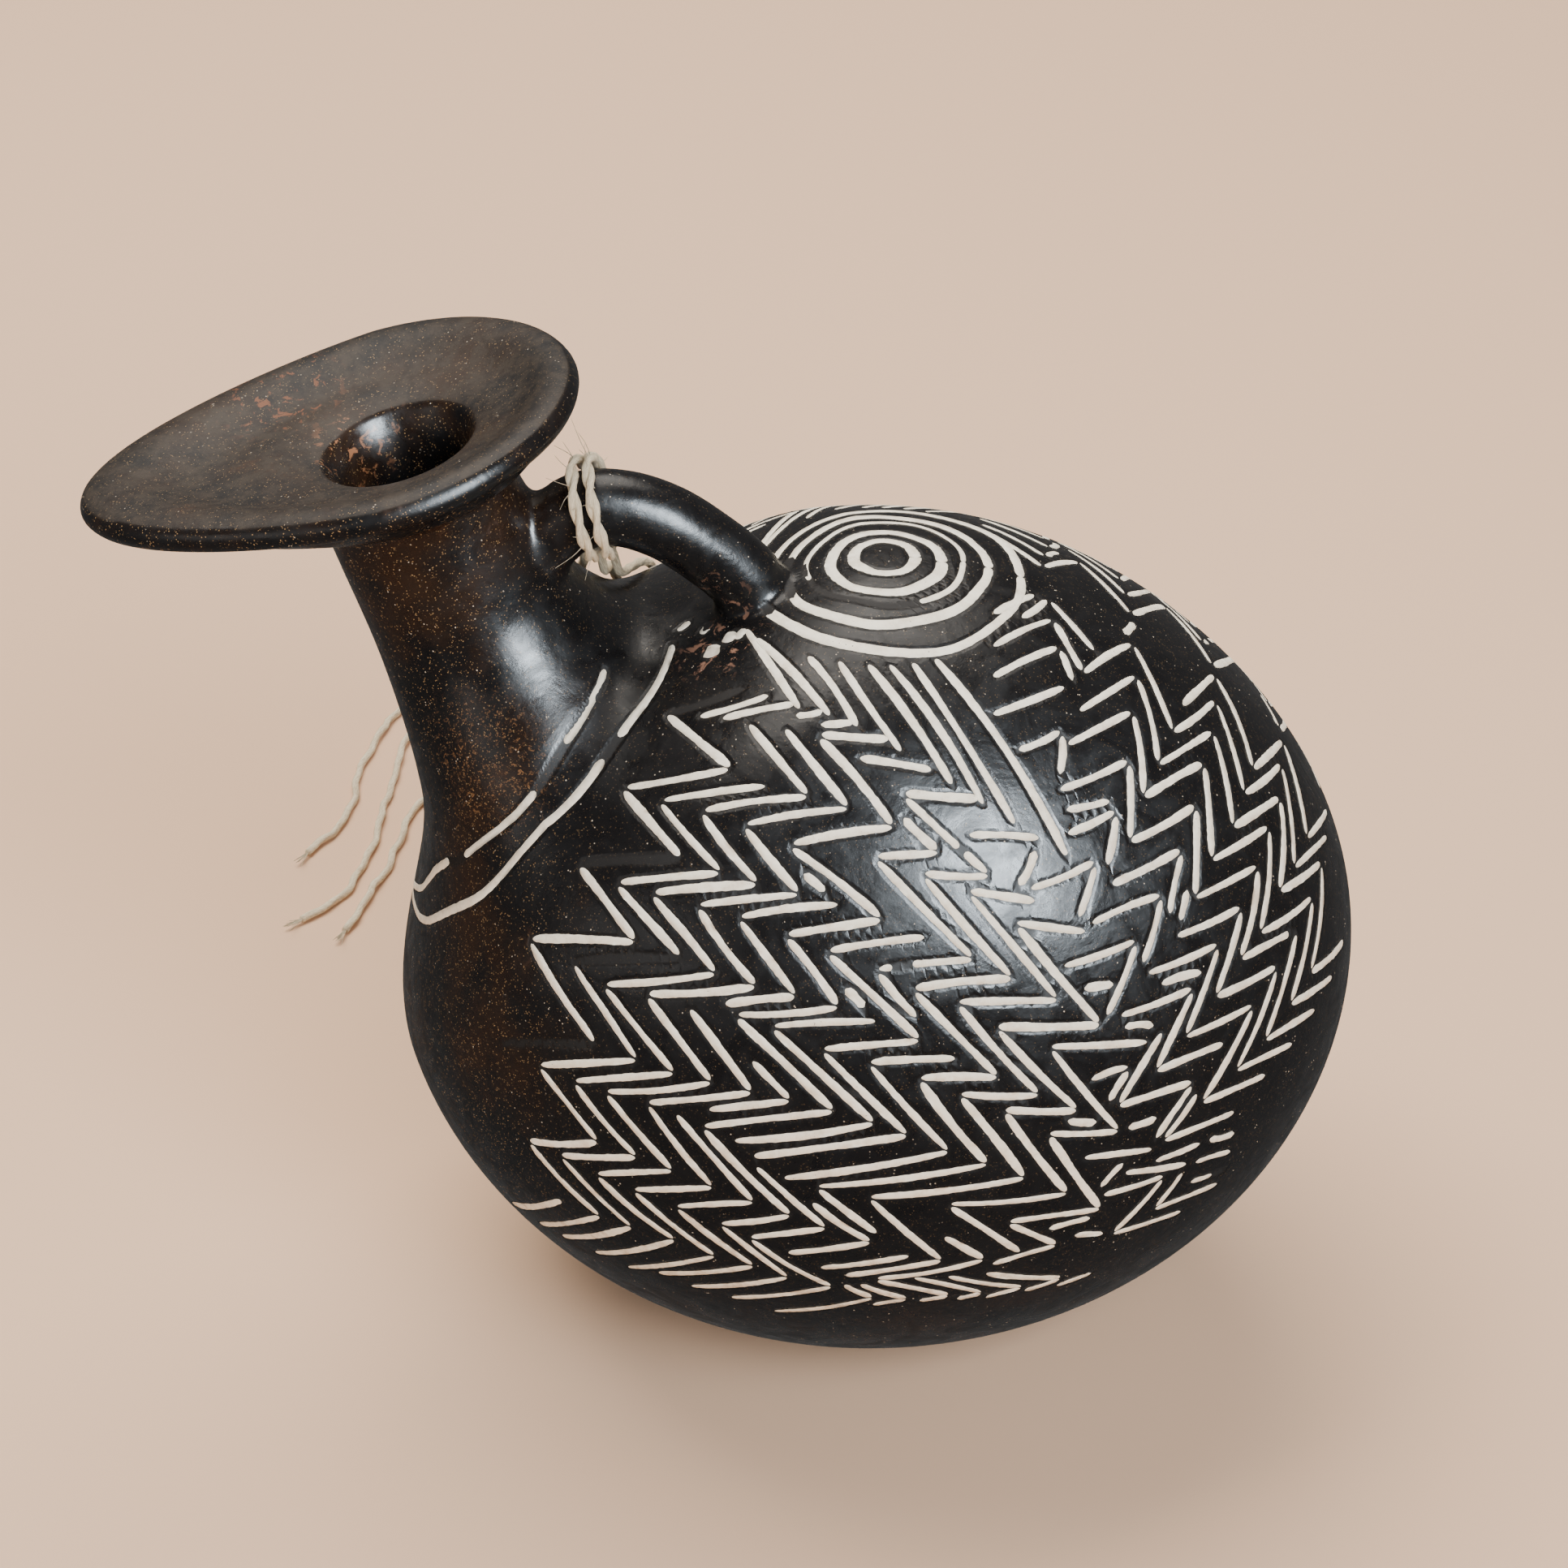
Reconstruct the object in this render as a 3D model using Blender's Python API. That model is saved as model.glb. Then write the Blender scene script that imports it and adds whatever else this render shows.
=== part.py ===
"""An askos: a hand-built jug of black burnished clay that lies along its own length.

It is one fired clay vessel: a round hollow body, a neck that leans forward at the
front, a broad leaf-shaped rim with a mouth in it, and a loop handle behind the neck.
The vessel is parted at its widest level into a belly and a top, so that the hollow
inside stays open in the collision model. A twine is tied round the handle, and its
loose ends run down the far side.

Metres, +Z up. The spout points to -X, the tail to +X, and the clay is the same on
both sides of the plane y = 0. The origin is the middle of the flat foot.
"""

import math

import bmesh
import bpy
from mathutils import Matrix, Vector

# Body: a round of three different sizes, cut flat underneath for a foot.
BODY_LENGTH = 0.156
BODY_WIDTH = 0.127
BODY_HEIGHT = 0.1427
FOOT_CUT = 0.0021
WALL = 0.0046
PARTING_GAP = 0.0002
TAIL_DIP = math.radians(38.0)
SHOULDER_ANGLE = math.radians(128.0)
BACK_FLATTENING = 0.022
BACK_FLAT_AT = math.radians(45.0)
BACK_FLAT_SPREAD = math.radians(26.0)

# Neck: the middle of each station in shares of the body's half length and half height
# from the body's middle, with the tilt of its plane, and the station's sizes.
NECK_ROOT = (-0.722, 0.664, math.radians(42.0))
NECK_MIDDLE = (-0.795, 0.870, math.radians(28.0))
NECK_TOP = (-0.877, 1.118, math.radians(16.0))
NECK_ROOT_RADIUS = 0.0208
NECK_ROOT_HALF_WIDTH = 0.0262
NECK_MIDDLE_RADIUS = 0.0163
NECK_MIDDLE_HALF_WIDTH = 0.0168
NECK_RADIUS = 0.0151
BORE_RADIUS = 0.0097

# Rim: a leaf that slopes down to its tip, dished round the mouth.
RIM_RISE = 0.0168
RIM_TILT = math.radians(13.8)
RIM_TURN = math.radians(5.5)
RIM_FRONT = 0.0488
RIM_BACK = 0.0286
RIM_HALF_WIDTH = 0.0300
RIM_ASIDE = 0.0014
RIM_WIDEST = -0.0020
RIM_FRONT_POWER = 1.32
RIM_SIDE_POWER = 2.0
RIM_THICKNESS = 0.0050
RIM_DISH = 0.0044
RIM_FILLET = 0.0034
MOUTH_RADIUS = 0.0118
MOUTH_ROLL = 0.0060

# Handle: a round rod through these places, from inside the clay of the neck's back, over
# the top of the loop and down into the clay of the body's back. They are shares of the
# body's half length and half height from the body's middle, as the neck's are.
HANDLE_DIAMETER = 0.0116
HANDLE_PLACES = (
    (-0.6705, 1.0350), (-0.6192, 1.0841), (-0.5615, 1.1191), (-0.4936, 1.1177),
    (-0.4205, 1.0897), (-0.3359, 1.0252), (-0.2667, 0.9523), (-0.2295, 0.8809),
)
ROOT_SWELL = 1.25
ROOT_SWELL_SHARE = 0.20

# Twine: turns round the handle, and a knot on its far side.
TWINE_DIAMETER = 0.0020
TWINE_TURNS = 2
TWINE_PITCH = 0.0024
TWINE_SLANT = math.radians(6.0)
TWINE_SHARE = 0.30
TWINE_GAP = 0.0006
KNOT_HEIGHT = 0.0058
KNOT_LENGTH = 0.0066
KNOT_DEPTH = 0.0040

# The twine's three loose ends, each the thickness of one untwisted strand. They leave
# the knot, run down the far side of the body, and lie on the ground behind the spout.
STRAND_DIAMETER = 0.0014
OUTER_END = (
    (-0.0423, 0.0098, 0.1460), (-0.0417, 0.0108, 0.1395), (-0.0402, 0.0120, 0.1307),
    (-0.0388, 0.0189, 0.1270), (-0.0375, 0.0297, 0.1214), (-0.0361, 0.0433, 0.1118),
    (-0.0352, 0.0528, 0.0957), (-0.0349, 0.0574, 0.0780), (-0.0344, 0.0602, 0.0520),
    (-0.0348, 0.0614, 0.0240), (-0.0356, 0.0645, 0.0065), (-0.0378, 0.0755, 0.0012),
    (-0.0400, 0.0850, 0.0008), (-0.0480, 0.1150, 0.0008), (-0.0610, 0.1470, 0.0008),
    (-0.0790, 0.1730, 0.0008), (-0.0905, 0.1755, 0.0008), (-0.0970, 0.1645, 0.0008),
    (-0.1024, 0.1435, 0.0008), (-0.1032, 0.1305, 0.0008), (-0.1062, 0.1210, 0.0008),
    (-0.1101, 0.1152, 0.0008),
)
MIDDLE_END = (
    (-0.0440, 0.0102, 0.1460), (-0.0437, 0.0112, 0.1395), (-0.0425, 0.0123, 0.1308),
    (-0.0422, 0.0199, 0.1269), (-0.0420, 0.0297, 0.1195), (-0.0416, 0.0418, 0.1091),
    (-0.0409, 0.0509, 0.0936), (-0.0405, 0.0549, 0.0777), (-0.0400, 0.0574, 0.0520),
    (-0.0404, 0.0586, 0.0240), (-0.0412, 0.0618, 0.0065), (-0.0432, 0.0725, 0.0012),
    (-0.0456, 0.0820, 0.0008), (-0.0525, 0.1080, 0.0008), (-0.0640, 0.1350, 0.0008),
    (-0.0790, 0.1565, 0.0008), (-0.0880, 0.1630, 0.0008), (-0.0934, 0.1565, 0.0008),
    (-0.0949, 0.1435, 0.0008), (-0.0966, 0.1248, 0.0008), (-0.0993, 0.1075, 0.0008),
    (-0.1040, 0.0976, 0.0008), (-0.1090, 0.0930, 0.0008),
)
INNER_END = (
    (-0.0457, 0.0098, 0.1460), (-0.0462, 0.0112, 0.1395), (-0.0457, 0.0157, 0.1307),
    (-0.0465, 0.0219, 0.1261), (-0.0470, 0.0308, 0.1166), (-0.0472, 0.0406, 0.1053),
    (-0.0469, 0.0480, 0.0922), (-0.0465, 0.0518, 0.0772), (-0.0458, 0.0536, 0.0520),
    (-0.0462, 0.0550, 0.0240), (-0.0472, 0.0582, 0.0065), (-0.0490, 0.0685, 0.0012),
    (-0.0510, 0.0770, 0.0008), (-0.0575, 0.0990, 0.0008), (-0.0670, 0.1190, 0.0008),
    (-0.0785, 0.1325, 0.0008), (-0.0865, 0.1350, 0.0008), (-0.0908, 0.1275, 0.0008),
    (-0.0922, 0.1166, 0.0008), (-0.0952, 0.1045, 0.0008), (-0.1000, 0.0892, 0.0008),
)
ROUTE_STEPS = 2

# How finely the surfaces are divided.
SIDES = 40
BODY_STEPS = 16
NECK_STEPS = 4
HANDLE_STEPS = 3
TURN_STEPS = 20
CREASE_ANGLE = math.radians(50.0)

BODY_MIDDLE = BODY_HEIGHT / 2.0 - FOOT_CUT


def new_collection(name):
    collection = bpy.data.collections.new(name)
    bpy.context.scene.collection.children.link(collection)
    return collection


def plain_material(name, colour, roughness, metallic=0.0):
    material = bpy.data.materials.new(name)
    material.use_nodes = True
    shader = material.node_tree.nodes["Principled BSDF"]
    shader.inputs["Base Color"].default_value = (*colour, 1.0)
    shader.inputs["Roughness"].default_value = roughness
    shader.inputs["Metallic"].default_value = metallic
    return material


def body_outline(angle, inset=0.0):
    """The body's outline in the plane y = 0, as (x, z), a little flat above the tail."""
    flat = 1.0 - BACK_FLATTENING * math.exp(-((angle - BACK_FLAT_AT) / BACK_FLAT_SPREAD) ** 2)
    return Vector((
        (BODY_LENGTH / 2.0 - inset) * math.cos(angle) * flat,
        BODY_MIDDLE + (BODY_HEIGHT / 2.0 - inset) * math.sin(angle) * flat,
    ))


def body_ring(turn, inset):
    """The ring of the body at an angle from its tail: back point, front point, half width."""
    half_width = (BODY_WIDTH / 2.0 - inset) * math.sin(turn)
    return body_outline(turn - TAIL_DIP, inset), body_outline(-turn - TAIL_DIP, inset), half_width


def beside_body(place):
    """A place given in shares of the body's half length and half height, as (x, z)."""
    return Vector((place[0] * BODY_LENGTH / 2.0, BODY_MIDDLE + place[1] * BODY_HEIGHT / 2.0))


def neck_station(station, radius, half_width, inset):
    """A neck station as back point, front point and half width."""
    middle = beside_body(station)
    reach = (radius - inset) * Vector((math.cos(station[2]), math.sin(station[2])))
    return middle + reach, middle - reach, half_width - inset


def smooth_line(points, steps, first_slope=None):
    """Points on one smooth line through the given ones, with steps to each span."""
    lengths = [(b - a).length for a, b in zip(points, points[1:])]
    slopes = []
    for k in range(len(points)):
        if 0 < k < len(points) - 1:
            before = (points[k] - points[k - 1]) / lengths[k - 1]
            after = (points[k + 1] - points[k]) / lengths[k]
            share = lengths[k - 1] / (lengths[k - 1] + lengths[k])
            slopes.append(before.lerp(after, share))
        elif k == 0:
            slopes.append(first_slope or (points[1] - points[0]) / lengths[0])
        else:
            slopes.append((points[-1] - points[-2]) / lengths[-1])
    line = []
    for k, length in enumerate(lengths):
        for step in range(steps):
            t = step / steps
            line.append(
                (2 * t**3 - 3 * t**2 + 1) * points[k]
                + (t**3 - 2 * t**2 + t) * length * slopes[k]
                + (3 * t**2 - 2 * t**3) * points[k + 1]
                + (t**3 - t**2) * length * slopes[k + 1]
            )
    line.append(points[-1])
    return line


def neck_rings(inset, bore_inset):
    """The rings from the body's shoulder up to the top of the neck."""
    shoulder = body_ring(SHOULDER_ANGLE, inset)
    below = body_ring(SHOULDER_ANGLE - 0.02, inset)
    stations = [
        shoulder,
        neck_station(NECK_ROOT, NECK_ROOT_RADIUS, NECK_ROOT_HALF_WIDTH, inset),
        neck_station(
            NECK_MIDDLE, NECK_MIDDLE_RADIUS, NECK_MIDDLE_HALF_WIDTH, (inset + bore_inset) / 2.0
        ),
        neck_station(NECK_TOP, NECK_RADIUS, NECK_RADIUS, bore_inset),
    ]
    backs = smooth_line([s[0] for s in stations], NECK_STEPS, (shoulder[0] - below[0]).normalized())
    fronts = smooth_line([s[1] for s in stations], NECK_STEPS, (shoulder[1] - below[1]).normalized())
    middles = [(s[0] + s[1]) / 2.0 for s in stations]
    climb = [0.0]
    for a, b in zip(middles, middles[1:]):
        climb.append(climb[-1] + (b - a).length)
    widening = Vector(((middles[0] - (below[0] + below[1]) / 2.0).length, shoulder[2] - below[2]))
    profile = [Vector((c, s[2])) for c, s in zip(climb, stations)]
    widths = smooth_line(profile, NECK_STEPS, widening.normalized())
    return [(b, f, w[1]) for b, f, w in zip(backs, fronts, widths)][1:]


def ring_points(ring):
    """The corners of a ring in space; the first one is at the back, towards the tail."""
    back, front, half_width = ring
    middle = (back + front) / 2.0
    reach = (back - front) / 2.0
    corners = []
    for k in range(SIDES):
        turn = 2.0 * math.pi * k / SIDES
        flat = middle + reach * math.cos(turn)
        corners.append(Vector((flat.x, -half_width * math.sin(turn), flat.y)))
    return corners


def rim_middle():
    """The point on the neck's axis where the plane of the rim's edge crosses it."""
    middle = beside_body(NECK_TOP)
    tilt = NECK_TOP[2]
    return Vector((middle.x - RIM_RISE * math.sin(tilt), 0.0, middle.y + RIM_RISE * math.cos(tilt)))


def leaf(turn, inset):
    """The rim's outline, drawn in by an inset: how far back, and how far to the side."""
    ahead = math.cos(turn)
    aside = math.sin(turn)
    side = (RIM_HALF_WIDTH - inset) * aside
    back = RIM_WIDEST + (RIM_BACK - RIM_WIDEST - inset) * ahead
    if ahead < 0.0:
        back = RIM_WIDEST - (RIM_FRONT + RIM_WIDEST - inset) * abs(ahead) ** (2.0 / RIM_FRONT_POWER)
        side = (RIM_HALF_WIDTH - inset) * math.copysign(abs(aside) ** (2.0 / RIM_SIDE_POWER), aside)
    return Matrix.Rotation(-RIM_TURN, 2) @ Vector((back, side))


def rim_points(depth, radius, leaf_share=0.0, inset=0.0):
    """A ring in the rim's plane, between a circle round the mouth and the leaf outline."""
    along = Vector((math.cos(RIM_TILT), 0.0, math.sin(RIM_TILT)))
    up = Vector((-math.sin(RIM_TILT), 0.0, math.cos(RIM_TILT)))
    corners = []
    for k in range(SIDES):
        turn = 2.0 * math.pi * k / SIDES
        back, side = leaf(turn, inset)
        back = back * leaf_share + radius * math.cos(turn) * (1.0 - leaf_share)
        side = side * leaf_share + radius * math.sin(turn) * (1.0 - leaf_share)
        aside = Vector((0.0, RIM_ASIDE * leaf_share - side, 0.0))
        corners.append(rim_middle() + along * back + aside - up * depth)
    return corners


def rim_rings():
    """Rings out along the rim's underside, round its edge and in again to the mouth."""
    neck = NECK_RADIUS
    flare = neck + RIM_FILLET
    lip = MOUTH_RADIUS + RIM_FILLET * 0.65
    under = RIM_THICKNESS + RIM_DISH
    return [
        rim_points(under + RIM_FILLET * 0.76, neck + RIM_FILLET * 0.24),
        rim_points(under + RIM_FILLET * 0.24, flare),
        rim_points(under, flare, leaf_share=0.45, inset=RIM_THICKNESS),
        rim_points(RIM_THICKNESS, neck, leaf_share=1.0, inset=RIM_THICKNESS * 0.64),
        rim_points(RIM_THICKNESS * 0.84, neck, leaf_share=1.0, inset=RIM_THICKNESS * 0.16),
        rim_points(RIM_THICKNESS * 0.50, neck, leaf_share=1.0),
        rim_points(RIM_THICKNESS * 0.16, neck, leaf_share=1.0, inset=RIM_THICKNESS * 0.16),
        rim_points(0.0, neck, leaf_share=1.0, inset=RIM_THICKNESS * 0.56),
        rim_points(RIM_DISH * 0.65, lip, leaf_share=0.5, inset=RIM_THICKNESS),
        rim_points(RIM_DISH * 0.95, lip),
        rim_points(RIM_DISH + MOUTH_ROLL * 0.13, MOUTH_RADIUS),
        rim_points(RIM_DISH + MOUTH_ROLL * 0.45, (MOUTH_RADIUS + BORE_RADIUS) / 2.0),
        rim_points(RIM_DISH + MOUTH_ROLL, BORE_RADIUS),
    ]


def flat_point(point):
    return Vector((point.x, 0.0, point.y))


def make_vessel(collection, material):
    """Loft the clay's outer skin from tail to rim, and the inner skin back to the tail."""
    bore_inset = NECK_RADIUS - BORE_RADIUS
    outer_turns = [SHOULDER_ANGLE * k / BODY_STEPS for k in range(1, BODY_STEPS + 1)]
    rings = [ring_points(body_ring(turn, 0.0)) for turn in outer_turns]
    rings += [ring_points(ring) for ring in neck_rings(0.0, 0.0)]
    rings += rim_rings()
    rings += [ring_points(ring) for ring in reversed(neck_rings(WALL, bore_inset))]
    rings += [ring_points(body_ring(turn, WALL)) for turn in reversed(outer_turns)]

    shape = bmesh.new()
    first_pole = shape.verts.new(flat_point(body_outline(-TAIL_DIP)))
    loops = [[shape.verts.new(corner) for corner in ring] for ring in rings]
    last_pole = shape.verts.new(flat_point(body_outline(-TAIL_DIP, WALL)))
    for k in range(SIDES):
        after = (k + 1) % SIDES
        shape.faces.new((first_pole, loops[0][after], loops[0][k]))
        shape.faces.new((last_pole, loops[-1][k], loops[-1][after]))
        for lower, upper in zip(loops, loops[1:]):
            shape.faces.new((lower[k], lower[after], upper[after], upper[k]))

    everything = shape.verts[:] + shape.edges[:] + shape.faces[:]
    bmesh.ops.bisect_plane(
        shape, geom=everything, dist=1e-6, plane_co=(0.0, 0.0, 0.0),
        plane_no=(0.0, 0.0, -1.0), clear_outer=True,
    )
    open_edges = [edge for edge in shape.edges if edge.is_boundary]
    bmesh.ops.contextual_create(shape, geom=open_edges)
    bmesh.ops.recalc_face_normals(shape, faces=shape.faces)

    mesh = bpy.data.meshes.new("vessel")
    shape.to_mesh(mesh)
    shape.free()
    mesh.materials.append(material)
    vessel = bpy.data.objects.new("vessel", mesh)
    collection.objects.link(vessel)
    return vessel


def handle_line(steps):
    """The handle's middle line, with steps to each span between its places."""
    line = smooth_line([beside_body(place) for place in HANDLE_PLACES], steps)
    return [flat_point(point) for point in line]


def curve_object(name, points, diameter, collection, resolution, swell=None):
    """A round rod along the points; swell holds a factor of its thickness at each one."""
    curve = bpy.data.curves.new(name, "CURVE")
    curve.dimensions = "3D"
    curve.bevel_depth = diameter / 2.0
    curve.bevel_resolution = resolution
    curve.use_fill_caps = True
    spline = curve.splines.new("POLY")
    spline.points.add(len(points) - 1)
    for k, point in enumerate(points):
        spline.points[k].co = (*point, 1.0)
        spline.points[k].radius = swell[k] if swell else 1.0
    rod = bpy.data.objects.new(name, curve)
    collection.objects.link(rod)
    return rod


def as_mesh(rod, collection):
    """The same rod as a mesh object with its caps welded on."""
    bpy.context.view_layer.update()
    evaluated = rod.evaluated_get(bpy.context.evaluated_depsgraph_get())
    mesh = bpy.data.meshes.new_from_object(evaluated)
    shape = bmesh.new()
    shape.from_mesh(mesh)
    bmesh.ops.remove_doubles(shape, verts=shape.verts, dist=1e-6)
    bmesh.ops.recalc_face_normals(shape, faces=shape.faces)
    shape.to_mesh(mesh)
    shape.free()
    name = rod.name
    place = rod.matrix_world.copy()
    bpy.data.objects.remove(rod)
    solid = bpy.data.objects.new(name, mesh)
    solid.matrix_world = place
    collection.objects.link(solid)
    return solid


def join_handle(vessel, cutters):
    """Add the handle to the vessel as one solid, its roots swelling into the clay."""
    line = handle_line(HANDLE_STEPS)
    swell = []
    for k in range(len(line)):
        share = min(k, len(line) - 1 - k) / (len(line) - 1)
        fade = max(0.0, 1.0 - share / ROOT_SWELL_SHARE)
        swell.append(1.0 + (ROOT_SWELL - 1.0) * fade * fade)
    rod = curve_object("handle_rod", line, HANDLE_DIAMETER, cutters, 4, swell)
    rod = as_mesh(rod, cutters)
    rod.hide_render = True
    rod.display_type = "WIRE"
    join(vessel, rod, "handle")


def place_on_handle(shift=0.0):
    """A point of the handle's middle line, a shift along from the tie, and the way it runs."""
    line = handle_line(HANDLE_STEPS * TURN_STEPS)
    at = round(TWINE_SHARE * (len(line) - 1))
    pace = (line[at + 1] - line[at]).length
    at += round(shift / pace)
    return line[at], (line[at + 1] - line[at - 1]).normalized()


def make_twine_wrap(collection, material):
    """The turns round the handle, joined at both ends to the knot on the far side."""
    far = Vector((0.0, 1.0, 0.0))
    along = place_on_handle()[1]
    out = far.cross(along)
    reach = HANDLE_DIAMETER / 2.0 + TWINE_GAP + TWINE_DIAMETER / 2.0
    points = []
    for k in range(TWINE_TURNS * TURN_STEPS + 1):
        turn = k / TURN_STEPS
        angle = 2.0 * math.pi * turn
        middle = place_on_handle((turn - TWINE_TURNS / 2.0) * TWINE_PITCH)[0]
        lean = along * math.tan(TWINE_SLANT) * math.sin(angle)
        points.append(middle + reach * (far * math.cos(angle) + out * math.sin(angle) + lean))
    rod = curve_object("twine_wrap", points, TWINE_DIAMETER, collection, 2)
    wrap = as_mesh(rod, collection)
    wrap.data.materials.append(material)
    return wrap


def make_knot(cutters):
    """A flattened ball for the knot, clear of the handle's far side."""
    middle = place_on_handle()[0]
    bpy.ops.mesh.primitive_uv_sphere_add(segments=12, ring_count=8, radius=0.5)
    knot = bpy.context.object
    knot.name = "knot_ball"
    knot.scale = (KNOT_LENGTH, KNOT_DEPTH, KNOT_HEIGHT)
    knot.location = middle + Vector((0.0, HANDLE_DIAMETER / 2.0 + TWINE_GAP + KNOT_DEPTH / 2.0, 0.0))
    for holder in list(knot.users_collection):
        holder.objects.unlink(knot)
    cutters.objects.link(knot)
    knot.hide_render = True
    knot.display_type = "WIRE"
    return knot


def shade_round(thing):
    """Shade the object smooth, with creases kept where faces meet at a clear angle."""
    thing.data.shade_smooth()
    thing.data.set_sharp_from_angle(angle=CREASE_ANGLE)


def join(solid, other, name, operation="UNION"):
    step = solid.modifiers.new(name, "BOOLEAN")
    step.operation = operation
    step.solver = "EXACT"
    step.object = other


def part_vessel(belly, cutters, parts):
    """Part the vessel at its widest level; the copy above the parting is the top."""
    top = belly.copy()
    top.data = belly.data.copy()
    top.name = "vessel_top"
    belly.name = "vessel_belly"
    parts.objects.link(top)
    for thing, side in ((belly, -1.0), (top, 1.0)):
        bpy.ops.mesh.primitive_cube_add(size=1.0)
        block = bpy.context.object
        block.name = thing.name + "_block"
        reach = BODY_LENGTH * 2.0
        block.scale = (reach, reach, reach)
        block.location = (0.0, 0.0, BODY_MIDDLE + side * (reach + PARTING_GAP) / 2.0)
        for holder in list(block.users_collection):
            holder.objects.unlink(block)
        cutters.objects.link(block)
        block.hide_render = True
        block.display_type = "WIRE"
        join(thing, block, "parting", "INTERSECT")


def main():
    for thing in list(bpy.data.objects):
        bpy.data.objects.remove(thing)
    parts = new_collection("askos")
    cutters = new_collection("askos_joined_shapes")
    clay = plain_material("burnished_clay", (0.020, 0.018, 0.016), 0.35)
    vessel = make_vessel(parts, clay)
    join_handle(vessel, cutters)
    shade_round(vessel)
    part_vessel(vessel, cutters, parts)
    jute = plain_material("jute_twine", (0.62, 0.52, 0.36), 0.9)
    wrap = make_twine_wrap(parts, jute)
    join(wrap, make_knot(cutters), "knot")
    shade_round(wrap)
    for name, route in (("outer", OUTER_END), ("middle", MIDDLE_END), ("inner", INNER_END)):
        line = smooth_line([Vector(point) for point in route], ROUTE_STEPS)
        strand = curve_object("twine_end_" + name, line, STRAND_DIAMETER, parts, 2)
        strand.data.materials.append(jute)


main()
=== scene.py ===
# %% [markdown]
# An askos is a small jug that lies along its own length: a round body, a neck that leans to the front, a
# broad leaf-shaped rim and a loop handle. This one is hand-built of black clay, burnished until it shines,
# and its cut lines are filled with white paste. We start by loading the solid model, which fixes every
# size and place.

# %% Load the solid model
import math
import random

import bmesh
import bpy
import numpy as np
from mathutils import Matrix, Vector, kdtree, noise
from mathutils.bvhtree import BVHTree


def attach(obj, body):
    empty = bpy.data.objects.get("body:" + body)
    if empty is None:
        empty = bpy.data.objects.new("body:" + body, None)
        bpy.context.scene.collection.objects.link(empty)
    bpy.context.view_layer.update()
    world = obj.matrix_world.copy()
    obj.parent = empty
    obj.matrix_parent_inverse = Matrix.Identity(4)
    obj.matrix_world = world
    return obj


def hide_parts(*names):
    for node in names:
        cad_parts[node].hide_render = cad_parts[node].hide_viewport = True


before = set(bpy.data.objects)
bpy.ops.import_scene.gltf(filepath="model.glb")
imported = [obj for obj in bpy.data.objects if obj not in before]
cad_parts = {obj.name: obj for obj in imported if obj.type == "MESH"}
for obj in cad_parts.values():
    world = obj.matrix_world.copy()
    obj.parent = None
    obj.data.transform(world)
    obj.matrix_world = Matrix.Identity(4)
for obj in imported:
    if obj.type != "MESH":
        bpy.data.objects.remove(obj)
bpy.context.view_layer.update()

# %% [markdown]
# The camera comes first, so that each piece can be judged as it is made. It looks along
# the jug's side from 35 degrees above, half a metre away, with a lens as long as the
# photograph's framing needs. A camera with no turn looks straight down, so it is tipped
# up by 90 degrees less its height angle.

# %% Camera
look_down = math.radians(34.96)
camera = bpy.data.objects.new("camera", bpy.data.cameras.new("camera"))
bpy.context.scene.collection.objects.link(camera)
camera.location = (-0.0143, -0.4654, 0.4237)
camera.rotation_euler = (math.pi / 2 - look_down, 0.0, 0.0)
camera.data.sensor_width = 36.0
camera.data.lens = 81.99
bpy.context.scene.camera = camera
print("camera", tuple(round(c, 4) for c in camera.location))

# %% [markdown]
# Studio light for a black shiny thing is mostly about what it mirrors. A wide soft panel
# above and behind gives the floor its tone and the jug its short shadow. A window-like
# panel at the front right is seen only in the shine, where it makes the pale blue streak
# on the belly. A second panel there lights only dull things, so the white paste is bright
# and the clay stays black. Area lights are used because their size sets how soft a
# highlight's edge is.

# %% Lights
def add_light(name, place, aim, size, watts, colour, soft=True, shine=True):
    data = bpy.data.lights.new(name, "AREA")
    data.shape = "RECTANGLE"
    data.size, data.size_y = size
    data.energy = watts
    data.color = colour
    light = bpy.data.objects.new(name, data)
    bpy.context.scene.collection.objects.link(light)
    light.location = place
    light.rotation_euler = (Vector(aim) - Vector(place)).to_track_quat("-Z", "Y").to_euler()
    light.visible_diffuse = soft
    light.visible_glossy = shine


add_light("top_panel", (-0.30, 0.50, 1.40), (0, 0, 0.05), (1.5, 1.0), 38.0, (1.0, 0.94, 0.86))
add_light("right_window", (0.55, -0.86, 0.82), (0.02, -0.03, 0.10), (0.46, 0.62), 92.0, (0.82, 0.92, 1.0),
          soft=False)
add_light("front_fill", (0.5, -1.1, 1.0), (0.0, 0.0, 0.06), (1.0, 0.8), 27.0, (1.0, 0.97, 0.92),
          shine=False)
add_light("left_fill", (-1.1, -0.9, 0.35), (-0.03, 0, 0.08), (0.9, 0.5), 3.0, (1.0, 0.97, 0.93))

world = bpy.data.worlds.new("studio")
world.use_nodes = True
world.node_tree.nodes["Background"].inputs["Color"].default_value = (0.93, 0.91, 0.89, 1)
world.node_tree.nodes["Background"].inputs["Strength"].default_value = 0.17
bpy.context.scene.world = world
print("lights set")

# %% [markdown]
# The floor is one big square of warm pale card. It isn't seen in the jug's shine: the
# real one's belly is almost black there, and a mirrored floor would turn it grey. Every
# finish starts the same way, as a new material with nodes, so that is our first helper.

# %% Floor
def nodes_of(name):
    material = bpy.data.materials.new(name)
    material.use_nodes = True
    return material, material.node_tree.nodes, material.node_tree.links


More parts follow.
